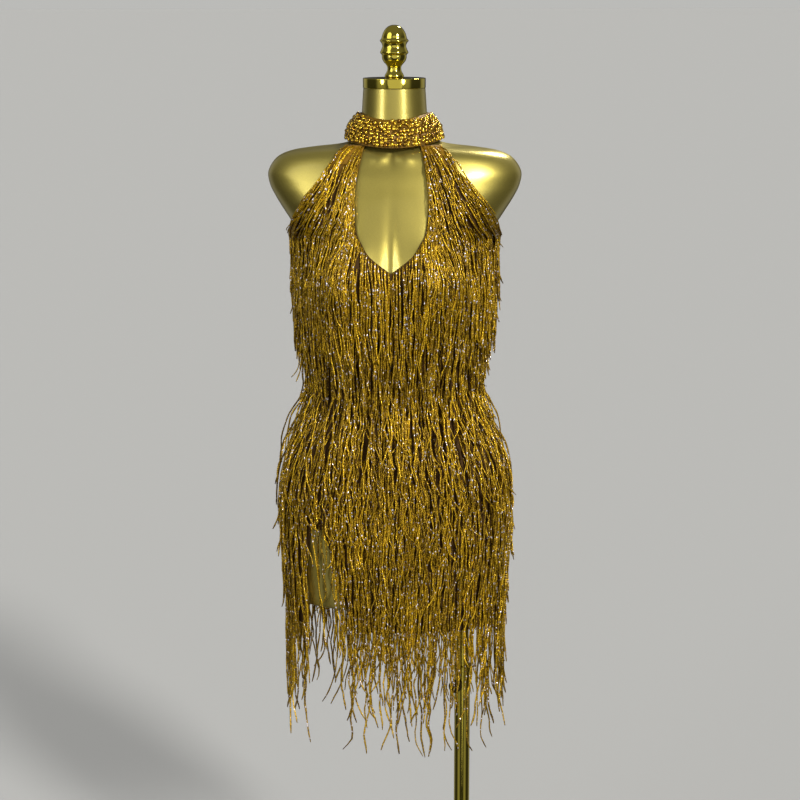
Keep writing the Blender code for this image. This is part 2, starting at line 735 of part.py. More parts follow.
def build_stand(rod_pivot, plated, dark_metal):
    plate = [
        Turn(BASE_RADIUS, 0.0),
        Turn(BASE_RADIUS, BASE_HEIGHT - BASE_EDGE),
        Turn(BASE_RADIUS - BASE_EDGE, BASE_HEIGHT),
    ]
    add_object("base_plate", turned_mesh(plate, BASE_ROUND), plated)
    bore = TUBE_RADIUS + FIT
    flange = [
        Turn(bore, 0.0),
        Turn(FLANGE_RADIUS, 0.0),
        Turn(FLANGE_RADIUS, FLANGE_RIM),
        Turn(FLANGE_NECK, FLANGE_SHOULDER),
        Turn(FLANGE_NECK, FLANGE_HEIGHT),
        Turn(bore, FLANGE_HEIGHT),
    ]
    flange_object = add_object("tube_flange", turned_mesh(flange, ROUND, closed_loop=True), plated)
    flange_object.location.z = BASE_HEIGHT + FIT
    tube = [
        Turn(TUBE_BORE, BASE_HEIGHT + FIT),
        Turn(TUBE_RADIUS, BASE_HEIGHT + FIT),
        Turn(TUBE_RADIUS, TUBE_TOP - LIP_HEIGHT),
        Turn(TUBE_LIP, TUBE_TOP - LIP_HEIGHT),
        Turn(TUBE_LIP, TUBE_TOP),
        Turn(TUBE_BORE, TUBE_TOP),
    ]
    tube_object = add_object("outer_tube", turned_mesh(tube, ROUND, closed_loop=True), plated)
    hole = turned_mesh([Turn(SCREW_SHANK + FIT, 0.0), Turn(SCREW_SHANK + FIT, TUBE_LIP * 2.0)], SMALL_ROUND)
    cutter = add_object("screw_hole_cutter", hole, plated)
    cutter.location.z = SCREW_Z
    cutter.rotation_euler = (0.0, math.pi / 2.0, math.radians(SCREW_DEG))
    cut_away(tube_object, cutter)
    rod_top = RINGS[FORM_BOTTOM].z + SOCKET_DEPTH - FIT
    rod = [Turn(ROD_RADIUS, ROD_BOTTOM), Turn(ROD_RADIUS, rod_top)]
    add_object("inner_rod", turned_mesh(rod, ROUND), plated, rod_pivot)
    screw = [
        Turn(SCREW_SHANK, ROD_RADIUS + FIT),
        Turn(SCREW_SHANK, KNOB_START),
        Turn(KNOB_RADIUS - KNOB_EDGE, KNOB_START),
        Turn(KNOB_RADIUS, KNOB_START + KNOB_EDGE),
        Turn(KNOB_RADIUS, KNOB_END - KNOB_EDGE),
        Turn(KNOB_RADIUS - KNOB_EDGE, KNOB_END),
    ]
    screw_object = add_object("thumb_screw", turned_mesh(screw, SMALL_ROUND), dark_metal)
    screw_object.location.z = SCREW_Z
    screw_object.rotation_euler = (0.0, math.pi / 2.0, math.radians(SCREW_DEG))


def main():
    clear_scene()
    satin = finish_material("satin champagne lacquer", (0.42, 0.38, 0.11), 0.35, 0.6)
    plated = finish_material("polished gold plate", (0.62, 0.52, 0.16), 0.12, 1.0)
    dark_metal = finish_material("dark gold screw", (0.20, 0.15, 0.05), 0.35, 1.0)
    cloth = finish_material("amber stretch net", (0.28, 0.15, 0.02), 0.7, 0.0)
    stones = finish_material("amber collar stones", (0.45, 0.26, 0.03), 0.15, 0.4)
    fringe = finish_material("gold bead fringe", (0.42, 0.27, 0.03), 0.3, 0.6)
    rod_pivot = add_pivot("rod_pivot")
    form = add_pivot("form_pivot")
    form.parent = rod_pivot
    build_stand(rod_pivot, plated, dark_metal)
    build_form(form, satin, plated)
    build_cloth(form, cloth)
    build_collar(form, stones, plated)
    build_fringe(form, fringe)


main()
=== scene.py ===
"""Looks of a halter mini dress covered in bead fringe, on a limbless dress form with its stand.

Metres, +Z up; the front faces -Y. Left and right are the wearer's, so the right side lies at -X. Angles
run round the form's own axis from +X, counterclockwise from above: 270 degrees is the centre front and
90 degrees the centre back.
"""

import math
from collections import namedtuple

import bpy
import numpy as np
from bpy.props import FloatProperty, FloatVectorProperty, IntProperty, PointerProperty
from mathutils import Matrix, Vector


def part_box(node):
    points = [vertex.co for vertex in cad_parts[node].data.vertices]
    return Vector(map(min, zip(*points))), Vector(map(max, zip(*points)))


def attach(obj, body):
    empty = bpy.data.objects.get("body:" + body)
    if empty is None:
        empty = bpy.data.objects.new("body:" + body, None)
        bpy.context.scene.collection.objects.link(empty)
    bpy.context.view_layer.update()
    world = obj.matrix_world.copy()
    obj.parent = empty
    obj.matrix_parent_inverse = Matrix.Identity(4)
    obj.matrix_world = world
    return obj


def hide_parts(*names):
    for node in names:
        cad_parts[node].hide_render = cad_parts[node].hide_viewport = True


bl_info = {
    "name": "Fringe mini dress on a dress form",
    "version": (1, 0, 0),
    "blender": (4, 5, 0),
    "location": "3D View > Sidebar > Dress",
    "description": "Builds a bead-fringed halter mini dress, its dress form, its stand and a plain stage",
    "category": "Object",
}

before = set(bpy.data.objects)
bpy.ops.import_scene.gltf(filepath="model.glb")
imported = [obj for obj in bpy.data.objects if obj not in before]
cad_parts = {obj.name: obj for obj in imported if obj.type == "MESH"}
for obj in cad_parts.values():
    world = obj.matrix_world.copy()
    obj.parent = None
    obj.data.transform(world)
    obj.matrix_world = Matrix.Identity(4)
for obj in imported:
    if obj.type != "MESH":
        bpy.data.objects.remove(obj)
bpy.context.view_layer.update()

# The form's axis stands beside the pole, halfway between the form's two sides
FORM_X = (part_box("form_torso")[0].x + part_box("form_torso")[1].x) / 2.0
FRONT = 270.0
BACK = 90.0
# An angle's mirror image in the centre plane is this less the angle
MIRROR = 540.0


def table(name, fields, rows):
    """Rows of values that can be read by their columns' names."""
    kind = namedtuple(name, fields)
    return [kind(*row) for row in rows]


# Level sections of the form from the neck down, and of the skirt below the form's bottom edge
RINGS = table("Ring", "z half_width front back square", [
    (1.4353, 0.0455, 0.0450, 0.0470, 2.0),
    (1.3780, 0.0500, 0.0475, 0.0520, 2.0),
    (1.3640, 0.0570, 0.0495, 0.0560, 2.0),
    (1.3570, 0.0700, 0.0515, 0.0600, 2.1),
    (1.3525, 0.0920, 0.0540, 0.0640, 2.2),
    (1.3490, 0.1250, 0.0570, 0.0680, 2.2),
    (1.3440, 0.1550, 0.0610, 0.0720, 2.2),
    (1.3340, 0.1750, 0.0670, 0.0770, 2.2),
    (1.3150, 0.1870, 0.0760, 0.0840, 2.2),
    (1.2960, 0.1850, 0.0830, 0.0900, 2.2),
    (1.2790, 0.1770, 0.0890, 0.0940, 2.2),
    (1.2580, 0.1640, 0.0950, 0.0980, 2.2),
    (1.2360, 0.1500, 0.1000, 0.1010, 2.2),
    (1.2190, 0.1420, 0.1030, 0.1020, 2.2),
    (1.2000, 0.1400, 0.1060, 0.1020, 2.2),
    (1.1770, 0.1405, 0.1080, 0.1010, 2.2),
    (1.1550, 0.1425, 0.1080, 0.0990, 2.2),
    (1.1330, 0.1430, 0.1060, 0.0970, 2.2),
    (1.1100, 0.1410, 0.1020, 0.0940, 2.2),
    (1.0850, 0.1370, 0.0970, 0.0900, 2.2),
    (1.0550, 0.1310, 0.0910, 0.0860, 2.2),
    (1.0200, 0.1250, 0.0870, 0.0830, 2.2),
    (0.9860, 0.1220, 0.0850, 0.0830, 2.2),
    (0.9550, 0.1250, 0.0860, 0.0870, 2.2),
    (0.9250, 0.1350, 0.0900, 0.0950, 2.2),
    (0.8900, 0.1500, 0.0955, 0.1060, 2.2),
    (0.8500, 0.1620, 0.1000, 0.1160, 2.2),
    (0.8100, 0.1680, 0.1020, 0.1210, 2.2),
    (0.7750, 0.1690, 0.1020, 0.1210, 2.2),
    (0.7150, 0.1655, 0.0990, 0.1150, 2.2),
    (0.6580, 0.1610, 0.0950, 0.1060, 2.2),
    (0.6265, 0.1590, 0.0930, 0.1020, 2.2),
])
STRAP_TOP = 4
UNDERARM = 13
FORM_BOTTOM = 30
HEM = 31
FORM_BOTTOM_Z = RINGS[FORM_BOTTOM].z
HEM_Z = RINGS[HEM].z
UNDERARM_Z = 1.2190
KEYHOLE_BOTTOM_Z = 1.1770
BACK_LOW_Z = 1.1770
STEPS_BETWEEN_RINGS = 12
# Short steps, in metres and in degrees, that give the surface's slope
NEAR = 0.0008
NEAR_DEG = 0.5

# The bust is a soft rise on each side of the centre front
BUST_RISE = 0.024
BUST_Z = 1.163
BUST_SPREAD_Z = 0.048
BUST_DEG = 32.0
BUST_SPREAD_DEG = 17.0

# Half widths of the keyhole and of the armhole edge: each row has a height and the width there
KEYHOLE = table("EdgeWidth", "z half_width", [
    (1.3525, 0.0400), (1.3440, 0.0430), (1.3150, 0.0485), (1.2790, 0.0530),
    (1.2360, 0.0495), (1.2190, 0.0420), (1.2000, 0.0300), (1.1770, 0.0000),
])
ARMHOLE = table("EdgeWidth", "z half_width", [
    (1.3525, 0.0690), (1.3440, 0.0770), (1.3340, 0.0860), (1.3150, 0.0980), (1.2960, 0.1120),
    (1.2790, 0.1260), (1.2580, 0.1400), (1.2360, 0.1465), (1.2190, 0.1420),
])
EDGE_LEVELS = 90
EDGE_STEPS = 361

# The slit's top, the angles of its two edges there and at the hem, and the least gap beside them
SLIT_TOP_Z = 0.7900
SLIT_TOP_DEG = (212.0, 219.0)
SLIT_HEM_DEG = (200.5, 236.5)
SLIT_APART_DEG = 1.0

# Cloth: a thin net, which the straps lift a little further off the form
NET_IN = 0.0011
NET_OUT = 0.0021
HALF_SEAM = 0.00015
STRAP_EASE = 0.0016
EASE_FROM_Z = 1.175
EASE_TO_Z = 1.236
PANEL_COLUMNS = 33
BACK_COLUMNS = 65
BACK_ROWS = 90
SIDE_COLUMNS = 13
MIDDLE_COLUMNS = 20
PANEL_ROW_STEP = 3

# Soft creases of the stretched net: where each crosses, how it runs, how wide and how high it is
CREASES = table("Crease", "z deg slope width length height", [
    (1.120, 338.0, 0.0011, 0.0050, 26.0, 0.0007),
    (1.092, 331.0, 0.0014, 0.0060, 19.0, 0.0006),
    (1.070, 344.0, 0.0010, 0.0055, 22.0, 0.0007),
    (1.115, 206.0, -0.0012, 0.0060, 22.0, 0.0007),
    (1.081, 197.0, -0.0009, 0.0050, 27.0, 0.0006),
    (1.010, 352.0, 0.0004, 0.0065, 24.0, 0.0008),
    (0.986, 341.0, 0.0006, 0.0055, 18.0, 0.0006),
    (1.003, 187.0, -0.0005, 0.0060, 23.0, 0.0008),
    (0.975, 200.0, -0.0007, 0.0050, 17.0, 0.0006),
    (1.030, 62.0, -0.0006, 0.0060, 26.0, 0.0008),
    (1.004, 112.0, 0.0005, 0.0065, 24.0, 0.0007),
    (0.978, 88.0, 0.0001, 0.0055, 30.0, 0.0008),
])

# The skirt's free hem stands off the form in low waves: the turns, share and phase of each of two
HEM_WAVES = table("HemWave", "turns share phase", [(7, 0.3, 0.0), (11, 0.2, 1.0)])
HEM_WAVE_MEAN = 0.5
HEM_WAVE_HEIGHT = 0.0012
HEM_WAVE_TOP_Z = 0.700

# Stand collar: a band set with stones, which swells between its foot and its top
COLLAR_FOOT_Z = 1.3530
COLLAR_TOP_Z = 1.3920
COLLAR_SIDE_LIFT = 0.0080
COLLAR_WALL = 0.0016
COLLAR_BULGE = 0.0055
COLLAR_FOOT, COLLAR_TOP = table("CollarRing", "half_width front back", [
    (0.0680, 0.0660, 0.0700),
    (0.0495, 0.0485, 0.0515),
])
COLLAR_COLUMNS = 120
COLLAR_LEVELS = 10

# The collar's stones: the rows, and how far single stones stray from even places, sizes and directions
STONE_HEIGHTS = (0.13, 0.245, 0.36, 0.475, 0.59, 0.705, 0.82, 0.93)
STONE_FREE_DEG = 8.0
STONE_PACKING = 0.88
# Every other row starts half a place on
STONE_STARTS = (0.25, 0.75)
STONE_SHIFT = 0.28
STONE_LEVEL = (-0.05, 0.04)
STONE_SIZE = (0.82, 1.06)
STONE_OUT = (0.35, 0.80)
STONE_LEAN = 0.28
# Short steps, as a share of the collar's height and in degrees, that give its slope
STONE_NEAR = 0.02
STONE_NEAR_DEG = 1.0
# A cut stone of radius 1: rings of corners from its flat table down to its foil, each turned half a facet
STONE_SIDES = 8
CUT_STONE = table("StoneRing", "radius z", [(0.50, 0.62), (0.86, 0.38), (1.00, 0.00), (0.62, -0.45)])

# Two domed buttons at the centre back: a radius and a height at each step of the dome
BUTTON_HEIGHTS = (0.27, 0.73)
BUTTON_SLOPE_STEP = 0.05
BUTTON_SIDES = 32
BUTTON = table("Step", "radius z", [
    (0.0036, 0.0000), (0.0044, 0.0007), (0.0045, 0.0014),
    (0.0038, 0.0024), (0.0020, 0.0030), (0.0003, 0.0031),
])

# Fringe rows: the straps' own, the two along a strap's edges, and the rings round the body
STRAP_ROW_Z = (1.3505, 1.3410, 1.3290, 1.3140, 1.2970, 1.2790, 1.2600, 1.2400, 1.2205, 1.2030, 1.1850)
EDGE_ROOT_TOP_Z = 1.3450
EDGE_ROOT_STEP = 0.0035
EDGE_MARGIN = 0.0015
RING_TOP_Z = 1.1680
RING_BOTTOM_Z = 0.6570
RING_ROWS = 16
BACK_ROW_DEG = (2.0, 178.0)
SLIT_MARGIN_DEG = 0.6
ROOT_SHIFT = 0.45
LONG_ROW_DEG = 120.0
LONG_ROW_STEPS = 73

# How the strands of a row hang. Each line has the row's height, the strands' length, how much shorter
# they are at the sides, how far they hang clear of a body that narrows below them, how far their tips may
# stand off, how far they arch out on their way down, how wavy they are, and how many there are, as a
# share of those that the spacing gives
HANGS = table("Hang", "z length side_cut clear flare arch wavy share", [
    (1.3505, 0.115, 0.00, 0.60, 0.001, 0.000, 0.60, 1.50),
    (1.3410, 0.115, 0.00, 0.60, 0.001, 0.000, 0.60, 0.85),
    (1.2790, 0.145, 0.00, 0.60, 0.001, 0.000, 0.60, 0.70),
    (1.2400, 0.150, 0.08, 0.70, 0.002, 0.000, 0.60, 0.95),
    (1.2030, 0.160, 0.15, 0.80, 0.003, 0.000, 0.60, 0.84),
    (1.1500, 0.165, 0.40, 0.85, 0.005, 0.000, 0.60, 0.76),
    (1.1000, 0.155, 0.40, 0.40, 0.016, 0.000, 0.70, 0.76),
    (1.0200, 0.151, 0.16, 0.24, 0.015, 0.000, 0.86, 0.776),
    (1.0000, 0.150, 0.10, 0.20, 0.010, 0.022, 0.90, 0.78),
    (0.9500, 0.160, 0.00, 0.20, 0.005, 0.014, 1.00, 0.80),
    (0.8900, 0.165, 0.00, 0.20, 0.004, 0.003, 0.90, 0.80),
    (0.8000, 0.175, 0.00, 0.30, 0.002, 0.000, 0.80, 0.76),
    (0.7400, 0.180, 0.00, 0.40, 0.001, 0.000, 0.90, 0.64),
    (0.6570, 0.205, 0.00, 0.60, 0.001, 0.000, 1.20, 0.62),
])
HANG_SHARE = HANGS[0]._fields.index("share")
STRAND_LENGTHS = (0.70, 1.12)
STRAND_WIDTHS = (0.85, 1.15)
HEM_ROWS_Z = 0.720
HEM_WIDER = 1.15
OVER_SLIT = 0.55
SLIT_CUTS = (-0.015, 0.020)
SLIT_SHORTEST = 0.025
LEVELS = 24
SIDES = 4

# A strand's way along the body: how closely it follows a strap's grain, how far it may hang over a
# strap's edge, how locks draw it in, how far it sways, and from where its tip curls
GRAIN = 0.85
OVERHANG = 0.0020
ARM_OVERHANG = 4.0
LOCK_SHUFFLE = 7.0
LOCK_SHIFT = 0.3
LOCK_PULL = 0.9
WILD_WANDER = 2.0
BEND = 0.8
WILD_BEND = 1.5
TIP_FROM = 0.7
TIP_SHARE = 0.3
KINK = 0.0003
ROOT_STIFF = 6.0
LONG_WAVE, SHORT_WAVE, TIP_WAVE, OUT_WAVE = table("Wave", "height turns", [
    (0.0022, 1.5),
    (0.0009, 4.0),
    (0.0030, 3.0),
    (0.0009, 3.2),
])
WAVE_HEIGHTS = (0.2, 1.0)
WAVE_TURNS = (0.7, 1.3)

# A strand's distance from the cloth's seat, from its root to its tip
ROOT_OUT = 0.0026
NEAR_OUT = 0.0036
FAR_OUT = 0.0048
OUT_RISE = 3.0
LIFT = 0.0046
WILD_LIFT = 0.003
TIP_LIFT = 0.6
ARCH_IN_FRONT = 0.5
ARCH_LEAST = 0.4

# A strand's own shape and tint: how it twists and tapers, and how strands and their beads differ
TWISTS = (-0.35, 0.45)
TIP_WIDTH = 0.82
BEAD_WIDTHS = (0.88, 1.12)
END_WIDTH = 0.6
STRAND_TINT = 0.8
STRAND_TINT_POWER = 2.2
BEAD_TINT = 0.2

TAPE_OUT = 0.0006
TAPE_HEIGHT = 0.0030
TAPE_COLUMNS = 96

# What stands for each row of fringe: the first node whose height lies at or under the row
RING_ZONES = table("Zone", "node z", [
    ("fringe_ribs", 1.0300),
    ("fringe_waist", 0.9400),
    ("fringe_high_hip", 0.8450),
    ("fringe_low_hip", 0.7000),
    ("fringe_hem", 0.0000),
])
STRAP_ZONES = table("Zone", "node z", [
    ("fringe_strap_top", 1.3050),
    ("fringe_strap_mid", 1.2300),
    ("fringe_bust", 0.0000),
])
RIBS_TOP_Z = 1.1200

# Turned profiles: each step has a radius and a height along the axis
FINIAL = table("Step", "radius z", [
    (0.0128, 0.0000), (0.0139, 0.0010), (0.0142, 0.0026), (0.0134, 0.0048), (0.0117, 0.0076),
    (0.0104, 0.0106), (0.0101, 0.0140), (0.0108, 0.0168), (0.0124, 0.0192), (0.0150, 0.0220),
    (0.0171, 0.0252), (0.0181, 0.0288), (0.0182, 0.0322), (0.0186, 0.0333), (0.0203, 0.0350),
    (0.0207, 0.0362), (0.0202, 0.0377), (0.0190, 0.0404), (0.0178, 0.0434), (0.0174, 0.0458),
    (0.0180, 0.0482), (0.0196, 0.0508), (0.0209, 0.0524), (0.0208, 0.0537), (0.0192, 0.0556),
    (0.0184, 0.0574), (0.0177, 0.0604), (0.0160, 0.0650), (0.0131, 0.0696), (0.0092, 0.0732),
    (0.0046, 0.0752), (0.0006, 0.0757),
])
FLANGE = table("Step", "radius z", [
    (0.0310, 0.0000), (0.0320, 0.0010), (0.0320, 0.0050), (0.0308, 0.0064), (0.0262, 0.0078),
    (0.0205, 0.0100), (0.0178, 0.0132), (0.0165, 0.0170), (0.0165, 0.0212), (0.0158, 0.0220),
])
PROFILE_STEPS = 4
ROUND_STEPS = 5
SMOOTH_SIDES = 96

# Sizes of the cap, the stand and the screw, and the gaps between pieces that touch
CAP_RADIUS = 0.0460
CAP_HEIGHT = 0.0144
CAP_ROUND = 0.0010
NECK_GAP = 0.0003
FIT = 0.0003
BASE_RADIUS = 0.180
BASE_HEIGHT = 0.008
BASE_ROUND = 0.003
TUBE_RADIUS = 0.0122
TUBE_BORE = 0.0100
TUBE_TOP = 0.542
TUBE_LIP = 0.0136
LIP_HEIGHT = 0.010
ROD_RADIUS = 0.0095
ROD_BOTTOM = 0.240
EDGE_ROUND = 0.0006
SOCKET_DEPTH = 0.080
SCREW_Z = 0.512
SCREW_DEG = 240.0
SHANK_RADIUS = 0.0030
KNOB_RADIUS = 0.0095
KNOB_START = 0.0150
KNOB_END = 0.0270
KNOB_ROUND = 0.0012
KNURL = 0.0004

# The form's mesh, whose columns are closer in front, and its rounded lower edge
FORM_ROW_STEP = 2
FORM_FRONT_DEG = 26.0
FORM_FRONT_COLUMNS = 66
FORM_OTHER_COLUMNS = 130
FORM_EDGE_ROUND = 0.006

# Edges sharper than this many degrees stay sharp
METAL_DEG = 40.0
KNURL_DEG = 20.0
CLOTH_DEG = 60.0
SOFT_DEG = 50.0

# Soft hollows of the bare form, and rises, whose depth is negative: the valley between the two rises of
# the bust, the collar bones, and the hollow between them
HOLLOWS = table("Hollow", "z deg height spread_deg depth", [
    (1.188, 269.5, 0.056, 5.2, 0.0040),
    (1.338, 253.0, 0.009, 9.0, -0.0022),
    (1.338, 287.0, 0.009, 9.0, -0.0022),
    (1.343, 270.0, 0.012, 6.0, 0.0022),
])

# The net's colour is darkened as painted shade of the fringe over it, and between these heights near the
# straps' ends it turns to the collar's amber
SHADE_FADE_FROM_Z = 1.310
SHADE_FADE_TO_Z = 1.340

# Inputs and output of a colour mix, and inputs of a number mix
MIX_FACTOR = 0
MIX_A = 6
MIX_B = 7
MIX_OUT = 2
NUMBER_A = 2
NUMBER_B = 3

# Far studio lights: which setting gives each its strength, how many degrees it stands to the right of the
# front and above the floor, over how many degrees it spreads, and its colour
PLAIN_LIGHT = (1.0, 0.99, 0.97)
LIGHTS = table("Light", "name setting right up spread colour", [
    ("key", "key", 38.0, 32.0, 9.0, (1.0, 0.985, 0.96)),
    ("front", "front", 6.0, 4.0, 56.0, PLAIN_LIGHT),
    ("left strip", "strips", -42.0, 3.0, 12.0, PLAIN_LIGHT),
    ("right strip", "strips", 36.0, 3.0, 12.0, PLAIN_LIGHT),
    ("fill", "fill", -48.0, 26.0, 40.0, (0.97, 0.98, 1.0)),
    ("back", "back", 155.0, 42.0, 10.0, PLAIN_LIGHT),
])
LIGHT_HEIGHT = 3.0
FLOOR_HALF = 1000.0
ROOM_PANELS = 4

# The photograph's frame and view
FOCAL_PIXELS = 1750.0
IMAGE_PIXELS = 800.0
SENSOR = 0.036
CAMERA_DISTANCE = 2.600
CAMERA_HEIGHT = 1.553
CAMERA_AZIMUTH = 3.0
CAMERA_PITCH = 12.7
CAMERA_AIM_RIGHT = 0.165
CAMERA_ROLL = -0.10


def linear(colour):
    """An sRGB hex colour as linear red, green and blue."""
    channels = [int(colour[i : i + 2], 16) / 255.0 for i in (1, 3, 5)]
    return tuple(c / 12.92 if c <= 0.04045 else ((c + 0.055) / 1.055) ** 2.4 for c in channels)


def colour_property(name, description, colour):
    kind = {"subtype": "COLOR", "size": 3, "min": 0.0, "max": 1.0}
    return FloatVectorProperty(name=name, description=description, default=linear(colour), **kind)


def length_property(name, description, default):
    kind = {"min": 0.0001, "precision": 4, "subtype": "DISTANCE", "unit": "LENGTH"}
    return FloatProperty(name=name, description=description, default=default, **kind)


def strength_property(name, description, default):
    return FloatProperty(name=name, description=description, default=default, min=0.0)


class FringeSizes(bpy.types.PropertyGroup):
    """Sizes of the bead fringe."""

    strand_width: length_property("Strand width", "Width of one beaded strand", 0.0027)
    spacing: length_property("Spacing", "Distance between two strands along a row", 0.0050)
    lock_width: length_property("Lock width", "Width of the locks that strands gather into", 0.014)
    wander: length_property("Wander", "How far a strand's end wanders sideways", 0.0060)
    curl: length_property("Curl", "How far a strand's tip curls away", 0.0070)
    wild: FloatProperty(
        name="Wild strands",
        description="Share of the strands that lie across the others",
        default=0.12,
        min=0.0,
        max=1.0,
        subtype="FACTOR",
    )
    seed: IntProperty(name="Seed", description="Starts the fringe's random draws", default=11)


class CollarSizes(bpy.types.PropertyGroup):
    """Sizes of the collar's stones."""

    stone: length_property("Stone", "Width of one faceted stone", 0.0064)
    seed: IntProperty(name="Seed", description="Starts the stones' random draws", default=5)


class FinishColours(bpy.types.PropertyGroup):
    """Colours of the finishes."""

    lacquer: colour_property("Lacquer", "Metallic lacquer of the form", "#BCAC54")
    plating: colour_property("Plating", "Gold plate of the cap, finial and stand", "#D2C04E")
    screw: colour_property("Screw", "Worn plate of the thumb screw", "#3E3218")
    # Darker than the net's amber dye: painted shade of the fringe that hangs over it
    net: colour_property("Net", "Stretch net under the fringe", "#4C3206")
    band: colour_property("Collar band", "Satin of the collar, under its stones", "#86620C")
    bead_light: colour_property("Light beads", "Lightest bead colour", "#F4C61C")
    bead_dark: colour_property("Dark beads", "Darkest bead colour", "#3A1C02")
    # Painted glints: this near-white colour goes on a few beads to stand for light glinting off them
    glint_paint: colour_property("Sparkle", "Beads that catch the light", "#F7F2FA")
    stone_light: colour_property("Light stones", "Lightest stone colour", "#FBD23E")
    stone_dark: colour_property("Dark stones", "Darkest stone colour", "#7C5406")
    floor: colour_property("Floor", "Painted floor", "#A9A9A7")
    backdrop: colour_property("Backdrop", "Plain pale surroundings", "#BBBBB8")


class StageLight(bpy.types.PropertyGroup):
    """Strength of the studio light."""

    key: strength_property("Key light", "Strength of the main light, from the front right", 2.8)
    front: strength_property("Front light", "Strength of the low wide light from the front", 0.5)
    strips: strength_property(
        "Strip lights", "Strength of each of the two low lights to the left and right of the front", 0.5
    )
    fill: strength_property("Fill light", "Strength of the wide light from the front left", 0.7)
    back: strength_property("Back light", "Strength of the light from behind", 2.2)
    room: strength_property("Room light", "Strength of the light from all round", 0.22)


def smooth_table(rows, steps):
    """Smooth curves through the columns of a table, with this many steps from one row to the next."""
    points = np.array(rows, float)
    ends = (2.0 * points[0] - points[1], 2.0 * points[-1] - points[-2])
    points = np.vstack([ends[0], points, ends[1]])
    t = np.arange(steps)[:, None] / steps
    pieces = []
    for a, b, c, d in zip(points, points[1:], points[2:], points[3:]):
        cubic = 3.0 * b - a - 3.0 * c + d
        square = 2.0 * a - 5.0 * b + 4.0 * c - d
        pieces.append(0.5 * (2.0 * b + (c - a) * t + square * t**2 + cubic * t**3))
    return np.vstack(pieces + [points[-2:-1]])


BODY = smooth_table(RINGS, STEPS_BETWEEN_RINGS)
KEYHOLE_CURVE = smooth_table(KEYHOLE, STEPS_BETWEEN_RINGS)
ARMHOLE_CURVE = smooth_table(ARMHOLE, STEPS_BETWEEN_RINGS)


def by_height(rows, z, column=1):
    """A column's value at each height, from a table that runs down."""
    rows = np.asarray(rows)
    return np.interp(z, rows[::-1, 0], rows[::-1, column])


def arrays(*values):
    """The values as arrays of numbers of one shape."""
    return np.broadcast_arrays(*(np.asarray(value, float) for value in values))


def unit(vectors):
    return vectors / np.maximum(np.linalg.norm(vectors, axis=-1, keepdims=True), 1e-9)


def oval_radius(half_width, depth, square, deg):
    angle = np.radians(deg)
    across = (np.abs(np.cos(angle)) / half_width) ** square
    deep = (np.abs(np.sin(angle)) / depth) ** square
    return (across + deep) ** (-1.0 / square)


def round_axis(radius, angle, z, x=0.0):
    """The points at this distance from an upright axis, which stands at x."""
    height = np.broadcast_to(z, angle.shape)
    return np.stack([x + radius * np.cos(angle), radius * np.sin(angle), height], axis=-1)


def bust_rise(z, deg):
    rise = 0.0
    for side in (-1, 1):
        away = np.mod(deg, 360.0) - (FRONT + side * BUST_DEG)
        rise = rise + np.exp(-((away / BUST_SPREAD_DEG) ** 2) - ((z - BUST_Z) / BUST_SPREAD_Z) ** 2)
    return BUST_RISE * rise


def body_point(z, deg):
    """A point of the form's surface, or of the skirt's below the form."""
    z, deg = arrays(z, deg)
    half_width, front, back, square = (by_height(BODY, z, column) for column in range(1, 5))
    depth = np.where(np.sin(np.radians(deg)) < 0.0, front, back)
    radius = oval_radius(half_width, depth, square, deg) + bust_rise(z, deg)
    return round_axis(radius, np.radians(deg), z, FORM_X)


def body_normal(z, deg):
    across = body_point(z, deg + NEAR_DEG) - body_point(z, deg - NEAR_DEG)
    up = body_point(z + NEAR, deg) - body_point(z - NEAR, deg)
    return unit(np.cross(across, up))


def form_point(z, deg):
    """A point of the bare form, with its hollows and collar bones."""
    point = body_point(z, deg)
    for hollow in HOLLOWS:
        away = (np.mod(deg, 360.0) - hollow.deg) / hollow.spread_deg
        drop = np.exp(-(((z - hollow.z) / hollow.height) ** 2) - away**2)
        point[..., 1] += hollow.depth * drop
    return point


def ease(z):
    """How much further off the form the straps lie than the body of the dress."""
    return STRAP_EASE * np.clip((z - EASE_FROM_Z) / (EASE_TO_Z - EASE_FROM_Z), 0.0, 1.0)


def crease_rise(z, deg):
    """How far the net's creases and the waves of its hem stand out."""
    rise = 0.0
    for crease in CREASES:
        along = np.mod(deg - crease.deg + 180.0, 360.0) - 180.0
        off_line = (z - crease.z - crease.slope * along) / crease.width
        rise = rise + crease.height * np.exp(-(off_line**2) - (along / crease.length) ** 2)
    down = np.clip((HEM_WAVE_TOP_Z - z) / (HEM_WAVE_TOP_Z - HEM_Z), 0.0, 1.0)
    wave = HEM_WAVE_MEAN
    for turns, share, phase in HEM_WAVES:
        wave = wave + share * np.sin(turns * np.radians(deg) + phase)
    return rise + HEM_WAVE_HEIGHT * wave * down**2


def off_body(z, deg, out):
    """The point this far out from the cloth's seat."""
    z, deg = arrays(z, deg)
    far = (out + ease(z) + crease_rise(z, deg))[..., None]
    return body_point(z, deg) + body_normal(z, deg) * far


def reach(points):
    return np.hypot(points[..., 0] - FORM_X, points[..., 1])


def degrees_at(length, point):
    """The angle that a length takes up round the form's axis, at this point."""
    return math.degrees(length / float(reach(point)))


def edge_deg(z, half_width):
    """The angle on the left front where the form's surface is this far out to the side."""
    degrees = np.linspace(FRONT, 360.0, EDGE_STEPS)
    across = body_point(np.full_like(degrees, z), degrees)[:, 0] - FORM_X
    return float(np.interp(half_width, across, degrees))


def front_edges(z):
    """The angles of the left front's edges: the centre or keyhole, and the side or armhole."""
    seam = degrees_at(HALF_SEAM, body_point(z, FRONT))
    inner, outer = FRONT + seam, 360.0 - seam
    if z > KEYHOLE_BOTTOM_Z:
        inner = max(inner, edge_deg(z, by_height(KEYHOLE_CURVE, z)))
    if z > UNDERARM_Z:
        outer = min(outer, edge_deg(z, by_height(ARMHOLE_CURVE, z)))
    return inner, outer


EDGE_HEIGHTS = np.linspace(RINGS[STRAP_TOP].z, BACK_LOW_Z, EDGE_LEVELS)
EDGE_TABLE = np.array([(z, *front_edges(z)) for z in EDGE_HEIGHTS])


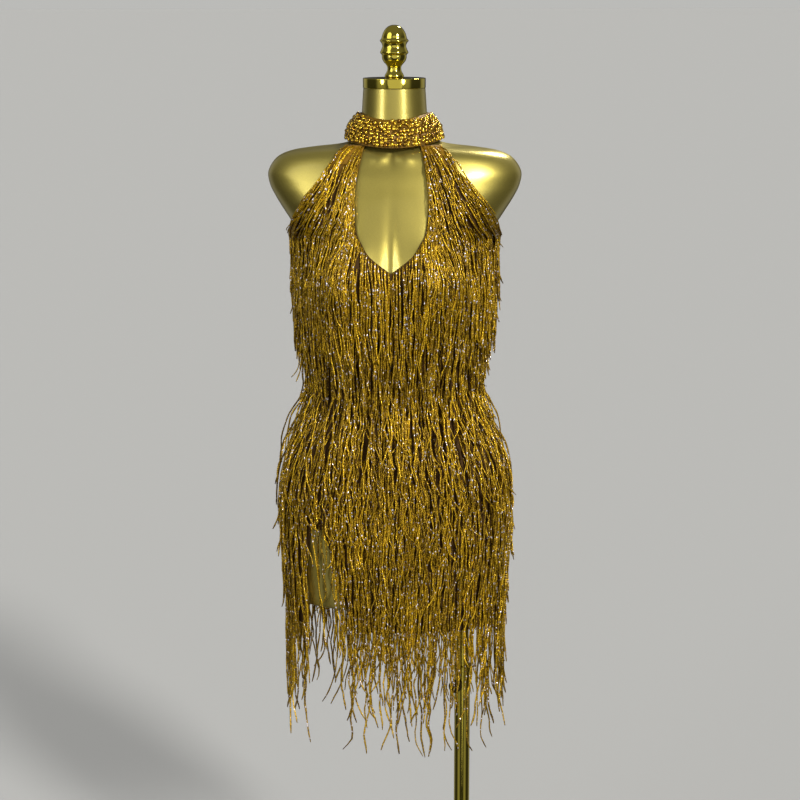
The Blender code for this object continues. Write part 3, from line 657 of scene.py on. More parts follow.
def slit_edges(z):
    """The angles of the slit's two edges at a height, above the hem."""
    down = np.clip((SLIT_TOP_Z - z) / (SLIT_TOP_Z - HEM_Z), 0.0, 1.0)
    return [top + (hem - top) * down for top, hem in zip(SLIT_TOP_DEG, SLIT_HEM_DEG)]


def set_inputs(tree, node, inputs):
    """Sets a node's inputs to values, or links them to the outputs that are given."""
    for key, value in inputs.items():
        if isinstance(value, bpy.types.NodeSocket):
            tree.links.new(value, node.inputs[key])
        else:
            node.inputs[key].default_value = value


def add_node(tree, kind, inputs=None, **settings):
    """A shader node with its settings, and with its inputs set or linked."""
    node = tree.nodes.new("ShaderNode" + kind)
    for key, value in settings.items():
        setattr(node, key, value)
    set_inputs(tree, node, inputs or {})
    return node


def new_material(name):
    material = bpy.data.materials.new(name)
    material.use_nodes = True
    return material, material.node_tree


def shaded(material, mix, plain, sheen=None, relief=None):
    """The material, whose shader takes its colour from a mix, its roughness from a range of values and
    its normal from a relief, where these are given, and plain numbers for the rest."""
    tree = material.node_tree
    inputs = {"Base Color": add_node(tree, "Mix", mix, data_type="RGBA").outputs[MIX_OUT], **plain}
    if sheen:
        inputs["Roughness"] = add_node(tree, "MapRange", sheen).outputs["Result"]
    if relief:
        inputs["Normal"] = add_node(tree, "Bump", relief).outputs["Normal"]
    set_inputs(tree, tree.nodes["Principled BSDF"], inputs)
    return material


def rgba(colour, share=1.0):
    """A colour, made darker or lighter by this share."""
    return (*(min(1.0, c * share) for c in colour), 1.0)


def satin_lacquer(colours):
    """Glass fibre sprayed with champagne-gold metallic lacquer under a satin clear coat: broad soft
    highlights with a fine flake, and a sharper glint from the coat on top."""
    material, tree = new_material("sprayed metallic lacquer on glass fibre")
    place = add_node(tree, "TexCoord").outputs["Object"]
    # Flakes are under 0.1 mm and are drawn at 0.9 mm, so that they show
    fine = {"Vector": place, "Scale": 1.0 / 0.0009, "Detail": 2.0}
    flake = add_node(tree, "TexNoise", fine).outputs["Fac"]
    broad = {"Vector": place, "Scale": 1.0 / 0.060, "Detail": 3.0}
    cloud = add_node(tree, "TexNoise", broad).outputs["Fac"]
    mix = {MIX_FACTOR: flake, MIX_A: rgba(colours.lacquer, 0.68), MIX_B: rgba(colours.lacquer)}
    sheen = {"Value": cloud, "From Min": 0.3, "From Max": 0.7, "To Min": 0.30, "To Max": 0.36}
    relief = {"Height": flake, "Strength": 0.2, "Distance": 0.0003}
    plain = {"Metallic": 0.85, "Coat Weight": 0.25, "Coat Roughness": 0.12, "Coat IOR": 1.5}
    return shaded(material, mix, plain, sheen, relief)


def plated(name, patches, shades, shine):
    """Plated metal whose colour and shine vary together, in patches of a noise."""
    material, tree = new_material(name)
    place = add_node(tree, "TexCoord").outputs["Object"]
    patch = add_node(tree, "TexNoise", {"Vector": place, **patches}).outputs["Fac"]
    mix = {MIX_FACTOR: patch, MIX_A: shades[0], MIX_B: shades[1]}
    return shaded(material, mix, {"Metallic": 1.0}, {"Value": patch, **shine})


def gold_plate(colours):
    """Steel and brass electroplated in pale gold and polished: mirror-like, with a faint haze."""
    haze = {"Scale": 1.0 / 0.025, "Detail": 4.0}
    shades = (rgba(colours.plating, 0.9), rgba(colours.plating))
    shine = {"From Min": 0.35, "From Max": 0.7, "To Min": 0.06, "To Max": 0.15}
    return plated("electroplated pale gold", haze, shades, shine)


def worn_plate(colours):
    """A plated screw knob dulled by handling: dark gold with brighter rubbed spots."""
    wear = {"Scale": 1.0 / 0.004, "Detail": 5.0}
    shades = (rgba(colours.screw), rgba(colours.screw, 2.2))
    shine = {"From Min": 0.3, "From Max": 0.7, "To Min": 0.25, "To Max": 0.5}
    return plated("worn plated steel", wear, shades, shine)


def woven_satin(colours):
    """Amber satin ribbon of the collar: smooth, with a soft metallic shine and a fine cross rib."""
    material, tree = new_material("woven satin ribbon")
    place = add_node(tree, "Attribute", attribute_name="cloth_place").outputs["Vector"]
    # Ribs are 0.4 mm apart and are drawn 1.2 mm apart, so that they show
    ribs = {"Vector": place, "Scale": 1.0 / 0.0012}
    rib = add_node(tree, "TexWave", ribs, bands_direction="X").outputs["Fac"]
    mix = {MIX_FACTOR: rib, MIX_A: rgba(colours.band, 0.6), MIX_B: rgba(colours.band)}
    relief = {"Height": rib, "Strength": 0.4, "Distance": 0.0002}
    return shaded(material, mix, {"Metallic": 0.35, "Roughness": 0.42}, relief=relief)


def stretch_net(colours):
    """Warp-knitted nylon stretch net, dyed amber: matt, with a fine mesh, a slight sheen and painted shade
    under the fringe.
    """
    material, tree = new_material("warp-knitted stretch net")
    place = add_node(tree, "Attribute", attribute_name="cloth_place").outputs["Vector"]
    # The net's holes are 0.8 mm apart and are drawn 1.6 mm apart, so that they show
    holes = add_node(tree, "TexVoronoi", {"Vector": place, "Scale": 1.0 / 0.0016}).outputs["Distance"]
    dye = add_node(tree, "TexNoise", {"Vector": place, "Scale": 1.0 / 0.03, "Detail": 3.0}).outputs["Fac"]
    mix = {MIX_FACTOR: dye, MIX_A: rgba(colours.net, 0.55), MIX_B: rgba(colours.net)}
    tint = add_node(tree, "Mix", mix, data_type="RGBA").outputs[MIX_OUT]
    # Painted shade: the net keeps its dark colour under the fringe and turns to the collar's amber only
    # near the top
    where = add_node(tree, "TexCoord").outputs["Object"]
    height = add_node(tree, "SeparateXYZ", {"Vector": where}).outputs["Z"]
    shade_fade = {"Value": height, "From Min": SHADE_FADE_FROM_Z, "From Max": SHADE_FADE_TO_Z}
    unshaded = add_node(tree, "MapRange", shade_fade).outputs["Result"]
    cloth = {MIX_FACTOR: unshaded, MIX_A: tint, MIX_B: rgba(colours.band)}
    relief = {"Height": holes, "Strength": 0.6, "Distance": 0.0004}
    plain = {"Roughness": 0.75, "Specular IOR Level": 0.25, "Sheen Weight": 0.03, "Sheen Roughness": 0.5}
    return shaded(material, cloth, plain, relief=relief)


def glass_beads(colours):
    """Silver-lined gold glass beads threaded on nylon: each strand has its own tint, beads about 2 mm
    long differ along it, and a few are painted almost white as glints of light."""
    material, tree = new_material("silver-lined glass beads")
    place = add_node(tree, "TexCoord").outputs["Object"]
    tint = add_node(tree, "Attribute", attribute_name="tint").outputs["Fac"]
    bead = add_node(tree, "TexVoronoi", {"Vector": place, "Scale": 1.0 / 0.0020}).outputs
    parts = add_node(tree, "SeparateColor", {"Color": bead["Color"]}).outputs
    shares = {MIX_FACTOR: 0.45, NUMBER_A: tint, NUMBER_B: parts["Red"]}
    share = add_node(tree, "Mix", shares, data_type="FLOAT").outputs[0]
    golds = {MIX_FACTOR: share, MIX_A: rgba(colours.bead_dark), MIX_B: rgba(colours.bead_light)}
    gold = add_node(tree, "Mix", golds, data_type="RGBA").outputs[MIX_OUT]
    # Painted glints: a few bead cells are coloured near white
    painted_glints = add_node(tree, "Math", {0: parts["Green"], 1: 0.962}, operation="GREATER_THAN").outputs[0]
    mix = {MIX_FACTOR: painted_glints, MIX_A: gold, MIX_B: rgba(colours.glint_paint)}
    sheen = {"Value": parts["Blue"], "To Min": 0.20, "To Max": 0.44}
    relief = {"Height": bead["Distance"], "Strength": 0.9, "Distance": 0.0007}
    plain = {"Metallic": 0.68, "IOR": 1.52, "Specular IOR Level": 0.6}
    shaded(material, mix, plain, sheen, relief)
    # The relief's height is the distance from a bead's middle, so it counts inwards
    tree.nodes["Bump"].invert = True
    return material


def faceted_stones(colours):
    """Foil-backed faceted glass stones, amber to gold: sharp glints that differ from stone to stone."""
    material, tree = new_material("foil-backed cut glass")
    tint = add_node(tree, "Attribute", attribute_name="tint").outputs["Fac"]
    mix = {MIX_FACTOR: tint, MIX_A: rgba(colours.stone_dark), MIX_B: rgba(colours.stone_light)}
    return shaded(material, mix, {"Metallic": 0.88, "Roughness": 0.14, "IOR": 1.55, "Coat Weight": 0.25})


def matt_paint(colours):
    """Matt floor paint: nearly flat, with a faint roller grain."""
    material, tree = new_material("matt floor paint")
    place = add_node(tree, "TexCoord").outputs["Object"]
    fine = {"Vector": place, "Scale": 1.0 / 0.004, "Detail": 2.0}
    grain = add_node(tree, "TexNoise", fine).outputs["Fac"]
    mix = {MIX_FACTOR: grain, MIX_A: rgba(colours.floor, 0.97), MIX_B: rgba(colours.floor)}
    return shaded(material, mix, {"Roughness": 0.85, "Specular IOR Level": 0.0})


MADE = {}


def finish(make):
    """A finish that several pieces share, made once."""
    if make not in MADE:
        MADE[make] = make(bpy.context.scene.dress_colours)
    return MADE[make]


def fill_mesh(name, points, faces):
    """A mesh from an array of points and from arrays of faces with the same number of corners each."""
    mesh = bpy.data.meshes.new(name)
    corners = np.concatenate([group.ravel() for group in faces])
    sizes = np.concatenate([np.full(len(group), group.shape[1]) for group in faces])
    mesh.vertices.add(len(points))
    mesh.vertices.foreach_set("co", np.asarray(points, np.float32).ravel())
    mesh.loops.add(len(corners))
    mesh.loops.foreach_set("vertex_index", corners.astype(np.int32))
    mesh.polygons.add(len(sizes))
    mesh.polygons.foreach_set("loop_start", (np.cumsum(sizes) - sizes).astype(np.int32))
    mesh.update(calc_edges=True)
    return mesh


def set_attribute(mesh, name, kind, values):
    attribute = mesh.attributes.new(name, kind, "POINT")
    key = "vector" if kind == "FLOAT_VECTOR" else "value"
    attribute.data.foreach_set(key, np.asarray(values, np.float32).ravel())


def add_object(name, data):
    thing = bpy.data.objects.new(name, data)
    bpy.context.scene.collection.objects.link(thing)
    return thing


def add_piece(name, mesh, make, body, nodes=(), smooth_deg=None):
    """A piece of the object in its finish, which rides on a body and may stand for solids."""
    mesh.materials.append(finish(make))
    if smooth_deg is not None:
        mesh.shade_smooth()
        mesh.set_sharp_from_angle(angle=math.radians(smooth_deg))
    piece = add_object(name, mesh)
    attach(piece, body)
    if nodes:
        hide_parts(*nodes)


def grid_faces(rows, columns, closed=False):
    """Quads of a grid of points numbered row by row, rows running down and columns counterclockwise."""
    r, c = np.meshgrid(np.arange(rows - 1), np.arange(columns if closed else columns - 1), indexing="ij")
    r, c = r.ravel(), c.ravel()
    d = (c + 1) % columns
    high, low = r * columns, (r + 1) * columns
    return np.stack([high + c, low + c, low + d, high + d], axis=1)


def tube_mesh(name, rings):
    """A closed mesh through rings of points, from the top down, with a flat face at each end."""
    rings = np.asarray(rings, float)
    rows, columns = rings.shape[:2]
    top = np.arange(columns)[None, :]
    bottom = (rows - 1) * columns + np.arange(columns)[None, ::-1]
    return fill_mesh(name, rings.reshape(-1, 3), [grid_faces(rows, columns, closed=True), top, bottom])


def turned_rings(profile, sides, x, z, knurl=0.0):
    """Rings of points for a profile that runs up, given from the top down."""
    angle = np.radians(np.arange(sides) * 360.0 / sides)
    rings = []
    for step, height in reversed(profile):
        radius = np.full(sides, step)
        radius[::2] -= knurl if step > knurl * 2.0 else 0.0
        rings.append(round_axis(radius, angle, z + height, x))
    return rings


def turned_mesh(name, profile, x=0.0, z=0.0, sides=SMOOTH_SIDES, knurl=0.0):
    return tube_mesh(name, turned_rings(profile, sides, x, z, knurl))


def hollow_mesh(name, profile, z=0.0):
    """A turned solid with a bore: the profile runs round its whole section."""
    rings = np.array(turned_rings(profile, SMOOTH_SIDES, 0.0, z))
    rows = len(profile)
    faces = grid_faces(rows + 1, SMOOTH_SIDES, closed=True)
    return fill_mesh(name, rings.reshape(-1, 3), [faces % (rows * SMOOTH_SIDES)])


def rounded(radius, low, high, edge):
    """A turned profile of a disc or rod with rounded edges."""
    turns = [math.pi / 2.0 * i / ROUND_STEPS for i in range(ROUND_STEPS + 1)]
    profile = [(radius - edge + edge * math.sin(t), low + edge - edge * math.cos(t)) for t in turns]
    return profile + [(radius - edge + edge * math.cos(t), high - edge + edge * math.sin(t)) for t in turns]


class DRESS_OT_form(bpy.types.Operator):
    """Builds the limbless form that the dress hangs on"""

    bl_idname = "dress.form"
    bl_label = "Dress form"

    def execute(self, context):
        rows = BODY[: FORM_BOTTOM * STEPS_BETWEEN_RINGS + 1 : FORM_ROW_STEP]
        start, end = FRONT - FORM_FRONT_DEG, FRONT + FORM_FRONT_DEG
        front = np.linspace(start, end, FORM_FRONT_COLUMNS, endpoint=False)
        other = np.linspace(end, start + 360.0, FORM_OTHER_COLUMNS, endpoint=False)
        degrees = np.concatenate([front, other])
        rings = [form_point(row[0], degrees) for row in rows]
        bottom = rings.pop()
        axis = np.array([FORM_X, 0.0, 0.0])
        for turn in np.linspace(0.0, math.pi / 2.0, ROUND_STEPS + 1):
            share = 1.0 - FORM_EDGE_ROUND * (1.0 - math.cos(turn)) / reach(bottom)[:, None]
            ring = axis + (bottom - axis) * share
            ring[:, 2] = FORM_BOTTOM_Z + FORM_EDGE_ROUND * (1.0 - math.sin(turn))
            rings.append(ring)
        for z in (FORM_BOTTOM_Z, FORM_BOTTOM_Z + SOCKET_DEPTH):
            rings.append(round_axis(ROD_RADIUS + FIT, np.radians(degrees), z))
        mesh = tube_mesh("form_body", rings)
        add_piece("form_body", mesh, satin_lacquer, "form", ["form_torso"], SOFT_DEG)
        return {"FINISHED"}


class DRESS_OT_metalwork(bpy.types.Operator):
    """Builds the neck cap, the finial and the stand"""

    bl_idname = "dress.metalwork"
    bl_label = "Metalwork"

    def execute(self, context):
        neck = RINGS[0].z + NECK_GAP
        foot = neck + CAP_HEIGHT + FIT
        low = BASE_HEIGHT + FIT
        bore = TUBE_RADIUS + FIT
        lip = TUBE_TOP - LIP_HEIGHT
        cap = rounded(CAP_RADIUS, 0.0, CAP_HEIGHT, CAP_ROUND)
        base = rounded(BASE_RADIUS, 0.0, BASE_HEIGHT, BASE_ROUND)
        flange = [(bore, FLANGE[0].z), *FLANGE, (bore, FLANGE[-1].z)]
        tube = [
            (TUBE_BORE, low),
            (TUBE_RADIUS, low),
            (TUBE_RADIUS, lip),
            (TUBE_LIP - EDGE_ROUND, lip),
            (TUBE_LIP, lip + EDGE_ROUND),
            (TUBE_LIP, TUBE_TOP - EDGE_ROUND),
            (TUBE_LIP - EDGE_ROUND, TUBE_TOP),
            (TUBE_BORE, TUBE_TOP),
        ]
        rod = rounded(ROD_RADIUS, ROD_BOTTOM, FORM_BOTTOM_Z + SOCKET_DEPTH - FIT, EDGE_ROUND)
        finial = smooth_table(FINIAL, PROFILE_STEPS)
        pieces = (
            ("plated_neck_cap", "neck_cap", "form", turned_mesh("cap", cap, FORM_X, neck)),
            ("turned_finial", "finial", "form", turned_mesh("finial", finial, FORM_X, foot)),
            ("plated_base", "base_plate", "stand", turned_mesh("base", base, sides=2 * SMOOTH_SIDES)),
            ("plated_flange", "tube_flange", "stand", hollow_mesh("flange", flange, low)),
            ("plated_tube", "outer_tube", "stand", hollow_mesh("tube", tube)),
            ("plated_rod", "inner_rod", "rod", turned_mesh("rod", rod)),
        )
        for name, node, body, mesh in pieces:
            add_piece(name, mesh, gold_plate, body, [node], METAL_DEG)
        return {"FINISHED"}


class DRESS_OT_screw(bpy.types.Operator):
    """Builds the thumb screw that clamps the rod"""

    bl_idname = "dress.screw"
    bl_label = "Thumb screw"

    def execute(self, context):
        profile = [(SHANK_RADIUS, ROD_RADIUS + FIT), (SHANK_RADIUS, KNOB_START)]
        profile += rounded(KNOB_RADIUS, KNOB_START, KNOB_END, KNOB_ROUND)
        mesh = turned_mesh("screw", profile, knurl=KNURL)
        turn = Matrix.Rotation(math.radians(SCREW_DEG), 4, "Z") @ Matrix.Rotation(math.pi / 2.0, 4, "Y")
        mesh.transform(Matrix.Translation((0.0, 0.0, SCREW_Z)) @ turn)
        add_piece("knurled_screw", mesh, worn_plate, "lock", ["thumb_screw"], KNURL_DEG)
        return {"FINISHED"}


def shell_mesh(name, outer, inner, missing=()):
    """A closed thin wall through two grids of points, rows running down, columns counterclockwise."""
    rows, columns = outer.shape[:2]
    count = rows * columns
    number = np.arange(count).reshape(rows, columns)
    cells = {(r, c) for r in range(rows - 1) for c in range(columns - 1)} - set(missing)
    faces = []
    for r, c in sorted(cells):
        corners = [number[r, c], number[r + 1, c], number[r + 1, c + 1], number[r, c + 1]]
        faces.append(corners)
        faces.append([k + count for k in reversed(corners)])
        for k, cell in enumerate([(r, c - 1), (r + 1, c), (r, c + 1), (r - 1, c)]):
            if cell not in cells:
                a, b = corners[k], corners[(k + 1) % 4]
                faces.append([b, a, a + count, b + count])
    points = np.concatenate([outer.reshape(-1, 3), inner.reshape(-1, 3)])
    mesh = fill_mesh(name, points, [np.array(faces)])
    places = cloth_places(outer)
    set_attribute(mesh, "cloth_place", "FLOAT_VECTOR", np.concatenate([places, places]))
    return mesh


def cloth_places(grid):
    """Distances in metres along the rows and down the columns of a grid, for the weave."""
    across = np.linalg.norm(np.diff(grid, axis=1), axis=2)
    across = np.concatenate([np.zeros((len(grid), 1)), np.cumsum(across, axis=1)], axis=1)
    down = np.linalg.norm(np.diff(grid, axis=0), axis=2).mean(axis=1)
    down = np.concatenate([[0.0], np.cumsum(down)])[:, None] + np.zeros_like(across)
    return np.stack([across - across[:, -1:] / 2.0, down, np.zeros_like(across)], axis=-1)


def net_grids(heights, degrees):
    """The outer and the inner grid of a panel of net."""
    return [off_body(heights, degrees, out) for out in (NET_OUT, NET_IN)]


def front_grids(levels, columns):
    """The grids of a front, whose columns' angles are given by height."""
    degrees = np.array([columns(z) for z in levels])
    return net_grids(levels[:, None] + np.zeros_like(degrees), degrees)


def left_columns(z):
    return np.linspace(*front_edges(z), PANEL_COLUMNS)


def right_columns(z):
    """Angles from the side in, with the slit's two edges among them, apart from each other and the ends."""
    inner, outer = front_edges(z)
    start, end = MIRROR - outer, MIRROR - inner
    low, high = slit_edges(z)
    near, far = SLIT_APART_DEG, 2.0 * SLIT_APART_DEG
    low, high = max(low, start + near), max(high, start + far)
    low, high = min(low, end - far), min(high, end - near)
    return np.concatenate([np.linspace(start, low, SIDE_COLUMNS), np.linspace(high, end, MIDDLE_COLUMNS)])


def back_top(deg):
    """The back's upper edge dips from the underarms to the centre back."""
    return UNDERARM_Z + (BACK_LOW_Z - UNDERARM_Z) * np.sin(np.radians(deg)) ** 2


def back_grids():
    seam = math.degrees(HALF_SEAM / RINGS[UNDERARM].half_width)
    degrees = np.linspace(seam, 180.0 - seam, BACK_COLUMNS)
    share = np.linspace(0.0, 1.0, BACK_ROWS)[:, None]
    heights = back_top(degrees)[None, :] * (1.0 - share) + HEM_Z * share
    return net_grids(heights, degrees[None, :] + np.zeros_like(heights))


class DRESS_OT_net(bpy.types.Operator):
    """Builds the net panels of the dress: two fronts and a back"""

    bl_idname = "dress.net"
    bl_label = "Net panels"

    def execute(self, context):
        first, last = STRAP_TOP * STEPS_BETWEEN_RINGS, HEM * STEPS_BETWEEN_RINGS
        levels = BODY[first : last + 1 : PANEL_ROW_STEP, 0]
        slit = [(r, SIDE_COLUMNS - 1) for r, z in enumerate(levels[:-1]) if z <= SLIT_TOP_Z]
        panels = (
            ("net_front_left", "front_left", front_grids(levels, left_columns), ()),
            ("net_front_right", "front_right", front_grids(levels, right_columns), slit),
            ("net_back", "back", back_grids(), ()),
        )
        for name, node, grids, missing in panels:
            mesh = shell_mesh(name, *grids, missing)
            add_piece(name, mesh, stretch_net, "form", [node], CLOTH_DEG)
        return {"FINISHED"}


def collar_point(height, deg, out=0.0):
    """A point of the collar: height runs from 0 at its foot to 1 at its top."""
    height, deg = arrays(height, deg)
    angle = np.radians(deg)
    radii = []
    for ring in (COLLAR_FOOT, COLLAR_TOP):
        depth = np.where(np.sin(angle) > 0.0, ring.back, ring.front)
        radii.append(oval_radius(ring.half_width, depth, 2.0, deg))
    bulge = 4.0 * COLLAR_BULGE * height * (1.0 - height)
    z = COLLAR_FOOT_Z + (COLLAR_TOP_Z - COLLAR_FOOT_Z) * height + COLLAR_SIDE_LIFT * np.cos(angle) ** 2
    return round_axis(radii[0] + (radii[1] - radii[0]) * height + bulge + out, angle, z, FORM_X)


def cut_stone():
    """Points and triangles of a cut stone."""
    points, faces = [], []
    for r, ring in enumerate(CUT_STONE):
        angle = math.tau * (np.arange(STONE_SIDES) + 0.5 * (r % 2)) / STONE_SIDES
        points.append(round_axis(ring.radius, angle, ring.z))
    for r in range(len(CUT_STONE) - 1):
        for k in range(STONE_SIDES):
            high, low = r * STONE_SIDES, (r + 1) * STONE_SIDES
            n = (k + 1) % STONE_SIDES
            a, b, c, d = high + k, high + n, low + k, low + n
            faces += [(a, c, b), (b, c, d)] if r % 2 == 0 else [(a, c, d), (a, d, b)]
    for start, turn in ((0, 1), ((len(CUT_STONE) - 1) * STONE_SIDES, -1)):
        faces += [(start, start + k, start + k + 1)[::turn] for k in range(1, STONE_SIDES - 1)]
    return np.concatenate(points), np.array(faces)


class DRESS_OT_collar(bpy.types.Operator):
    """Builds the stand collar, its stones and its two buttons"""

    bl_idname = "dress.collar"
    bl_label = "Stone collar"

    def execute(self, context):
        sizes = context.scene.dress_collar
        seam = math.degrees(HALF_SEAM / COLLAR_FOOT.back)
        degrees = np.linspace(BACK + seam, BACK + 360.0 - seam, COLLAR_COLUMNS + 1)[None, :]
        heights = np.linspace(1.0, 0.0, COLLAR_LEVELS + 1)[:, None]
        outer, inner = (collar_point(heights, degrees, out) for out in (COLLAR_WALL, 0.0))
        band = shell_mesh("collar", outer, inner)
        add_piece("collar_cloth", band, woven_satin, "form", ["collar_band"], SOFT_DEG)
        self.set_stones(sizes.stone, np.random.default_rng(sizes.seed))
        self.add_buttons()
        return {"FINISHED"}

    def set_stones(self, size, rng):
        stone, facets = cut_stone()
        points, faces, tints = [], [], []
        start, end = BACK + STONE_FREE_DEG, BACK + 360.0 - STONE_FREE_DEG
        for row, height in enumerate(STONE_HEIGHTS):
            girth = math.radians(end - start) * float(reach(collar_point(height, FRONT, COLLAR_WALL)))
            count = int(girth / (size * STONE_PACKING))
            pitch = (end - start) / count
            for k in range(count):
                deg = start + pitch * (k + STONE_STARTS[row % 2] + rng.uniform(-STONE_SHIFT, STONE_SHIFT))
                level = height + rng.uniform(*STONE_LEVEL)
                radius = size / 2.0 * rng.uniform(*STONE_SIZE)
                centre = collar_point(level, deg, COLLAR_WALL + radius * rng.uniform(*STONE_OUT))
                up = collar_point(level + STONE_NEAR, deg) - collar_point(level - STONE_NEAR, deg)
                ahead, behind = deg + STONE_NEAR_DEG, deg - STONE_NEAR_DEG
                across = collar_point(level, ahead) - collar_point(level, behind)
                away = unit(np.cross(across, up)) + rng.normal(0.0, STONE_LEAN, 3)
                spin = Matrix.Rotation(rng.uniform(0.0, math.tau), 3, "Z")
                turn = np.array(Vector(away).to_track_quat("Z", "Y").to_matrix() @ spin)
                faces.append(facets + len(stone) * len(points))
                points.append(centre + stone @ turn.T * radius)
                tints.append(np.full(len(stone), rng.uniform(0.0, 1.0)))
        mesh = fill_mesh("stones", np.concatenate(points), [np.concatenate(faces)])
        set_attribute(mesh, "tint", "FLOAT", np.concatenate(tints))
        add_piece("collar_cut_stones", mesh, faceted_stones, "form")

    def add_buttons(self):
        for name, height in zip(("lower", "upper"), BUTTON_HEIGHTS):
            steps = (height - BUTTON_SLOPE_STEP, height, height + BUTTON_SLOPE_STEP)
            below, middle, above = (Vector(collar_point(step, BACK, COLLAR_WALL)) for step in steps)
            slope = math.atan2(below.y - above.y, above.z - below.z)
            seat = middle + Vector((0.0, math.cos(slope), math.sin(slope))) * FIT
            mesh = turned_mesh("button", smooth_table(BUTTON, PROFILE_STEPS), sides=BUTTON_SIDES)
            mesh.transform(Matrix.Translation(seat) @ Matrix.Rotation(slope - math.pi / 2.0, 4, "X"))
            node = ["collar_button_" + name]
            add_piece("domed_button_" + name, mesh, gold_plate, "form", node, METAL_DEG)


# A row of strands: for each strand where its root is, and for straps which share of the width it has.
# The rows that run along a strap's edges are sewn to the net itself, with no tape
Row = namedtuple("Row", "node z deg share taped")


def roots(z, start, end, spacing, rng):
    """Angles of a row's roots from its start to its end, and the share of the way to each."""
    width = math.radians(end - start) * float(reach(off_body(z, (start + end) / 2.0, ROOT_OUT)))
    if end - start > LONG_ROW_DEG:
        ring = off_body(z, np.linspace(start, end, LONG_ROW_STEPS), ROOT_OUT)
        width = float(np.linalg.norm(np.diff(ring, axis=0), axis=1).sum())
    count = max(2, int(width / spacing * by_height(HANGS, z, HANG_SHARE)))
    share = (np.arange(count) + 0.5 + rng.uniform(-ROOT_SHIFT, ROOT_SHIFT, count)) / count
    return start + (end - start) * share, share


def zone_of(zones, z):
    return next(zone.node for zone in zones if z >= zone.z)


def fringe_rows(spacing, rng):
    """Every row of the dress, from the collar to the hem."""
    rows = []
    for z in STRAP_ROW_Z:
        inner, outer = front_edges(z)
        margin = degrees_at(EDGE_MARGIN, off_body(z, FRONT, 0.0))
        for side in ("left", "right"):
            degrees, share = roots(z, inner + margin, outer - margin, spacing, rng)
            if side == "right":
                degrees = MIRROR - degrees
            node = zone_of(STRAP_ZONES, z) + "_" + side
            rows.append(Row(node, np.full_like(degrees, z), degrees, share, True))
    for side in ("left", "right"):
        rows += edge_rows(side, KEYHOLE_BOTTOM_Z, 0)
        rows += edge_rows(side, UNDERARM_Z, 1)
    degrees, _ = roots(BACK_LOW_Z, *BACK_ROW_DEG, spacing, rng)
    rows.append(Row("fringe_back_top", back_top(degrees) - TAPE_HEIGHT, degrees, None, True))
    for z in np.linspace(RING_TOP_Z, RING_BOTTOM_Z, RING_ROWS):
        for node, start, end in ring_stretches(z):
            degrees, _ = roots(z, start, end, spacing, rng)
            rows.append(Row(node, np.full_like(degrees, z), degrees, None, True))
    return rows


def edge_rows(side, bottom, share):
    """The rows along a strap's inner edge, whose share is 0, or its outer edge, whose share is 1."""
    z = np.linspace(EDGE_ROOT_TOP_Z, bottom + EDGE_MARGIN, int((EDGE_ROOT_TOP_Z - bottom) / EDGE_ROOT_STEP))
    margin = degrees_at(EDGE_MARGIN, off_body(bottom, FRONT, 0.0))
    degrees = strap_edges(z)[share] + (-margin if share else margin)
    if side == "right":
        degrees = MIRROR - degrees
    nodes = np.array([zone_of(STRAP_ZONES, height) for height in z])
    rows = []
    for zone in STRAP_ZONES:
        here = nodes == zone.node
        if here.any():
            shares = np.full(here.sum(), float(share))
            rows.append(Row(zone.node + "_" + side, z[here], degrees[here], shares, False))
    return rows


def ring_stretches(z):
    """The stretches of a row round the body: the node that each belongs to, and its two ends."""
    if z > RIBS_TOP_Z:
        return [
            ("fringe_back_top", 0.0, 180.0),
            ("fringe_bust_right", 180.0, FRONT),
            ("fringe_bust_left", FRONT, 360.0),
        ]
    node = zone_of(RING_ZONES, z)
    if z > SLIT_TOP_Z:
        return [(node, 0.0, 360.0)]
    low, high = slit_edges(z)
    return [(node, high + SLIT_MARGIN_DEG, low + 360.0 - SLIT_MARGIN_DEG)]


def strap_edges(z):
    """The angles of the left strap's inner and outer edge at each height."""
    heights, inner, outer = EDGE_TABLE[::-1].T
    return np.interp(z, heights, inner), np.interp(z, heights, outer)


def strap_lines(row, z):
    """The angle of a strap's strand at each height: it leans out with the edges, and never back in."""
    inner, outer = strap_edges(z)
    along = np.maximum.accumulate(inner + (outer - inner) * row.share[:, None], axis=1)
    along = GRAIN * (along - along[:, :1])
    return row.deg[:, None] + (along if row.deg[0] > FRONT else -along)


def kept_on_strap(row, z, degrees, overhang):
    """The angles, held on the strap but for a little overhang at its edges."""
    inner, outer = strap_edges(z)
    outer = np.where(z < UNDERARM_Z, outer + ARM_OVERHANG * overhang, outer)
    if row.deg[0] > FRONT:
        return np.clip(degrees, inner - overhang, outer + overhang)
    return np.clip(degrees, MIRROR - outer - overhang, MIRROR - inner + overhang)


def waves(share, count, wave, rng):
    """A random wave for each strand, with about as many turns from its root to its tip as given."""
    heights = rng.uniform(*WAVE_HEIGHTS, (count, 1)) * wave.height
    phases = rng.uniform(0.0, math.tau, (count, 1))
    return heights * np.sin(math.tau * wave.turns * rng.uniform(*WAVE_TURNS, (count, 1)) * share + phases)


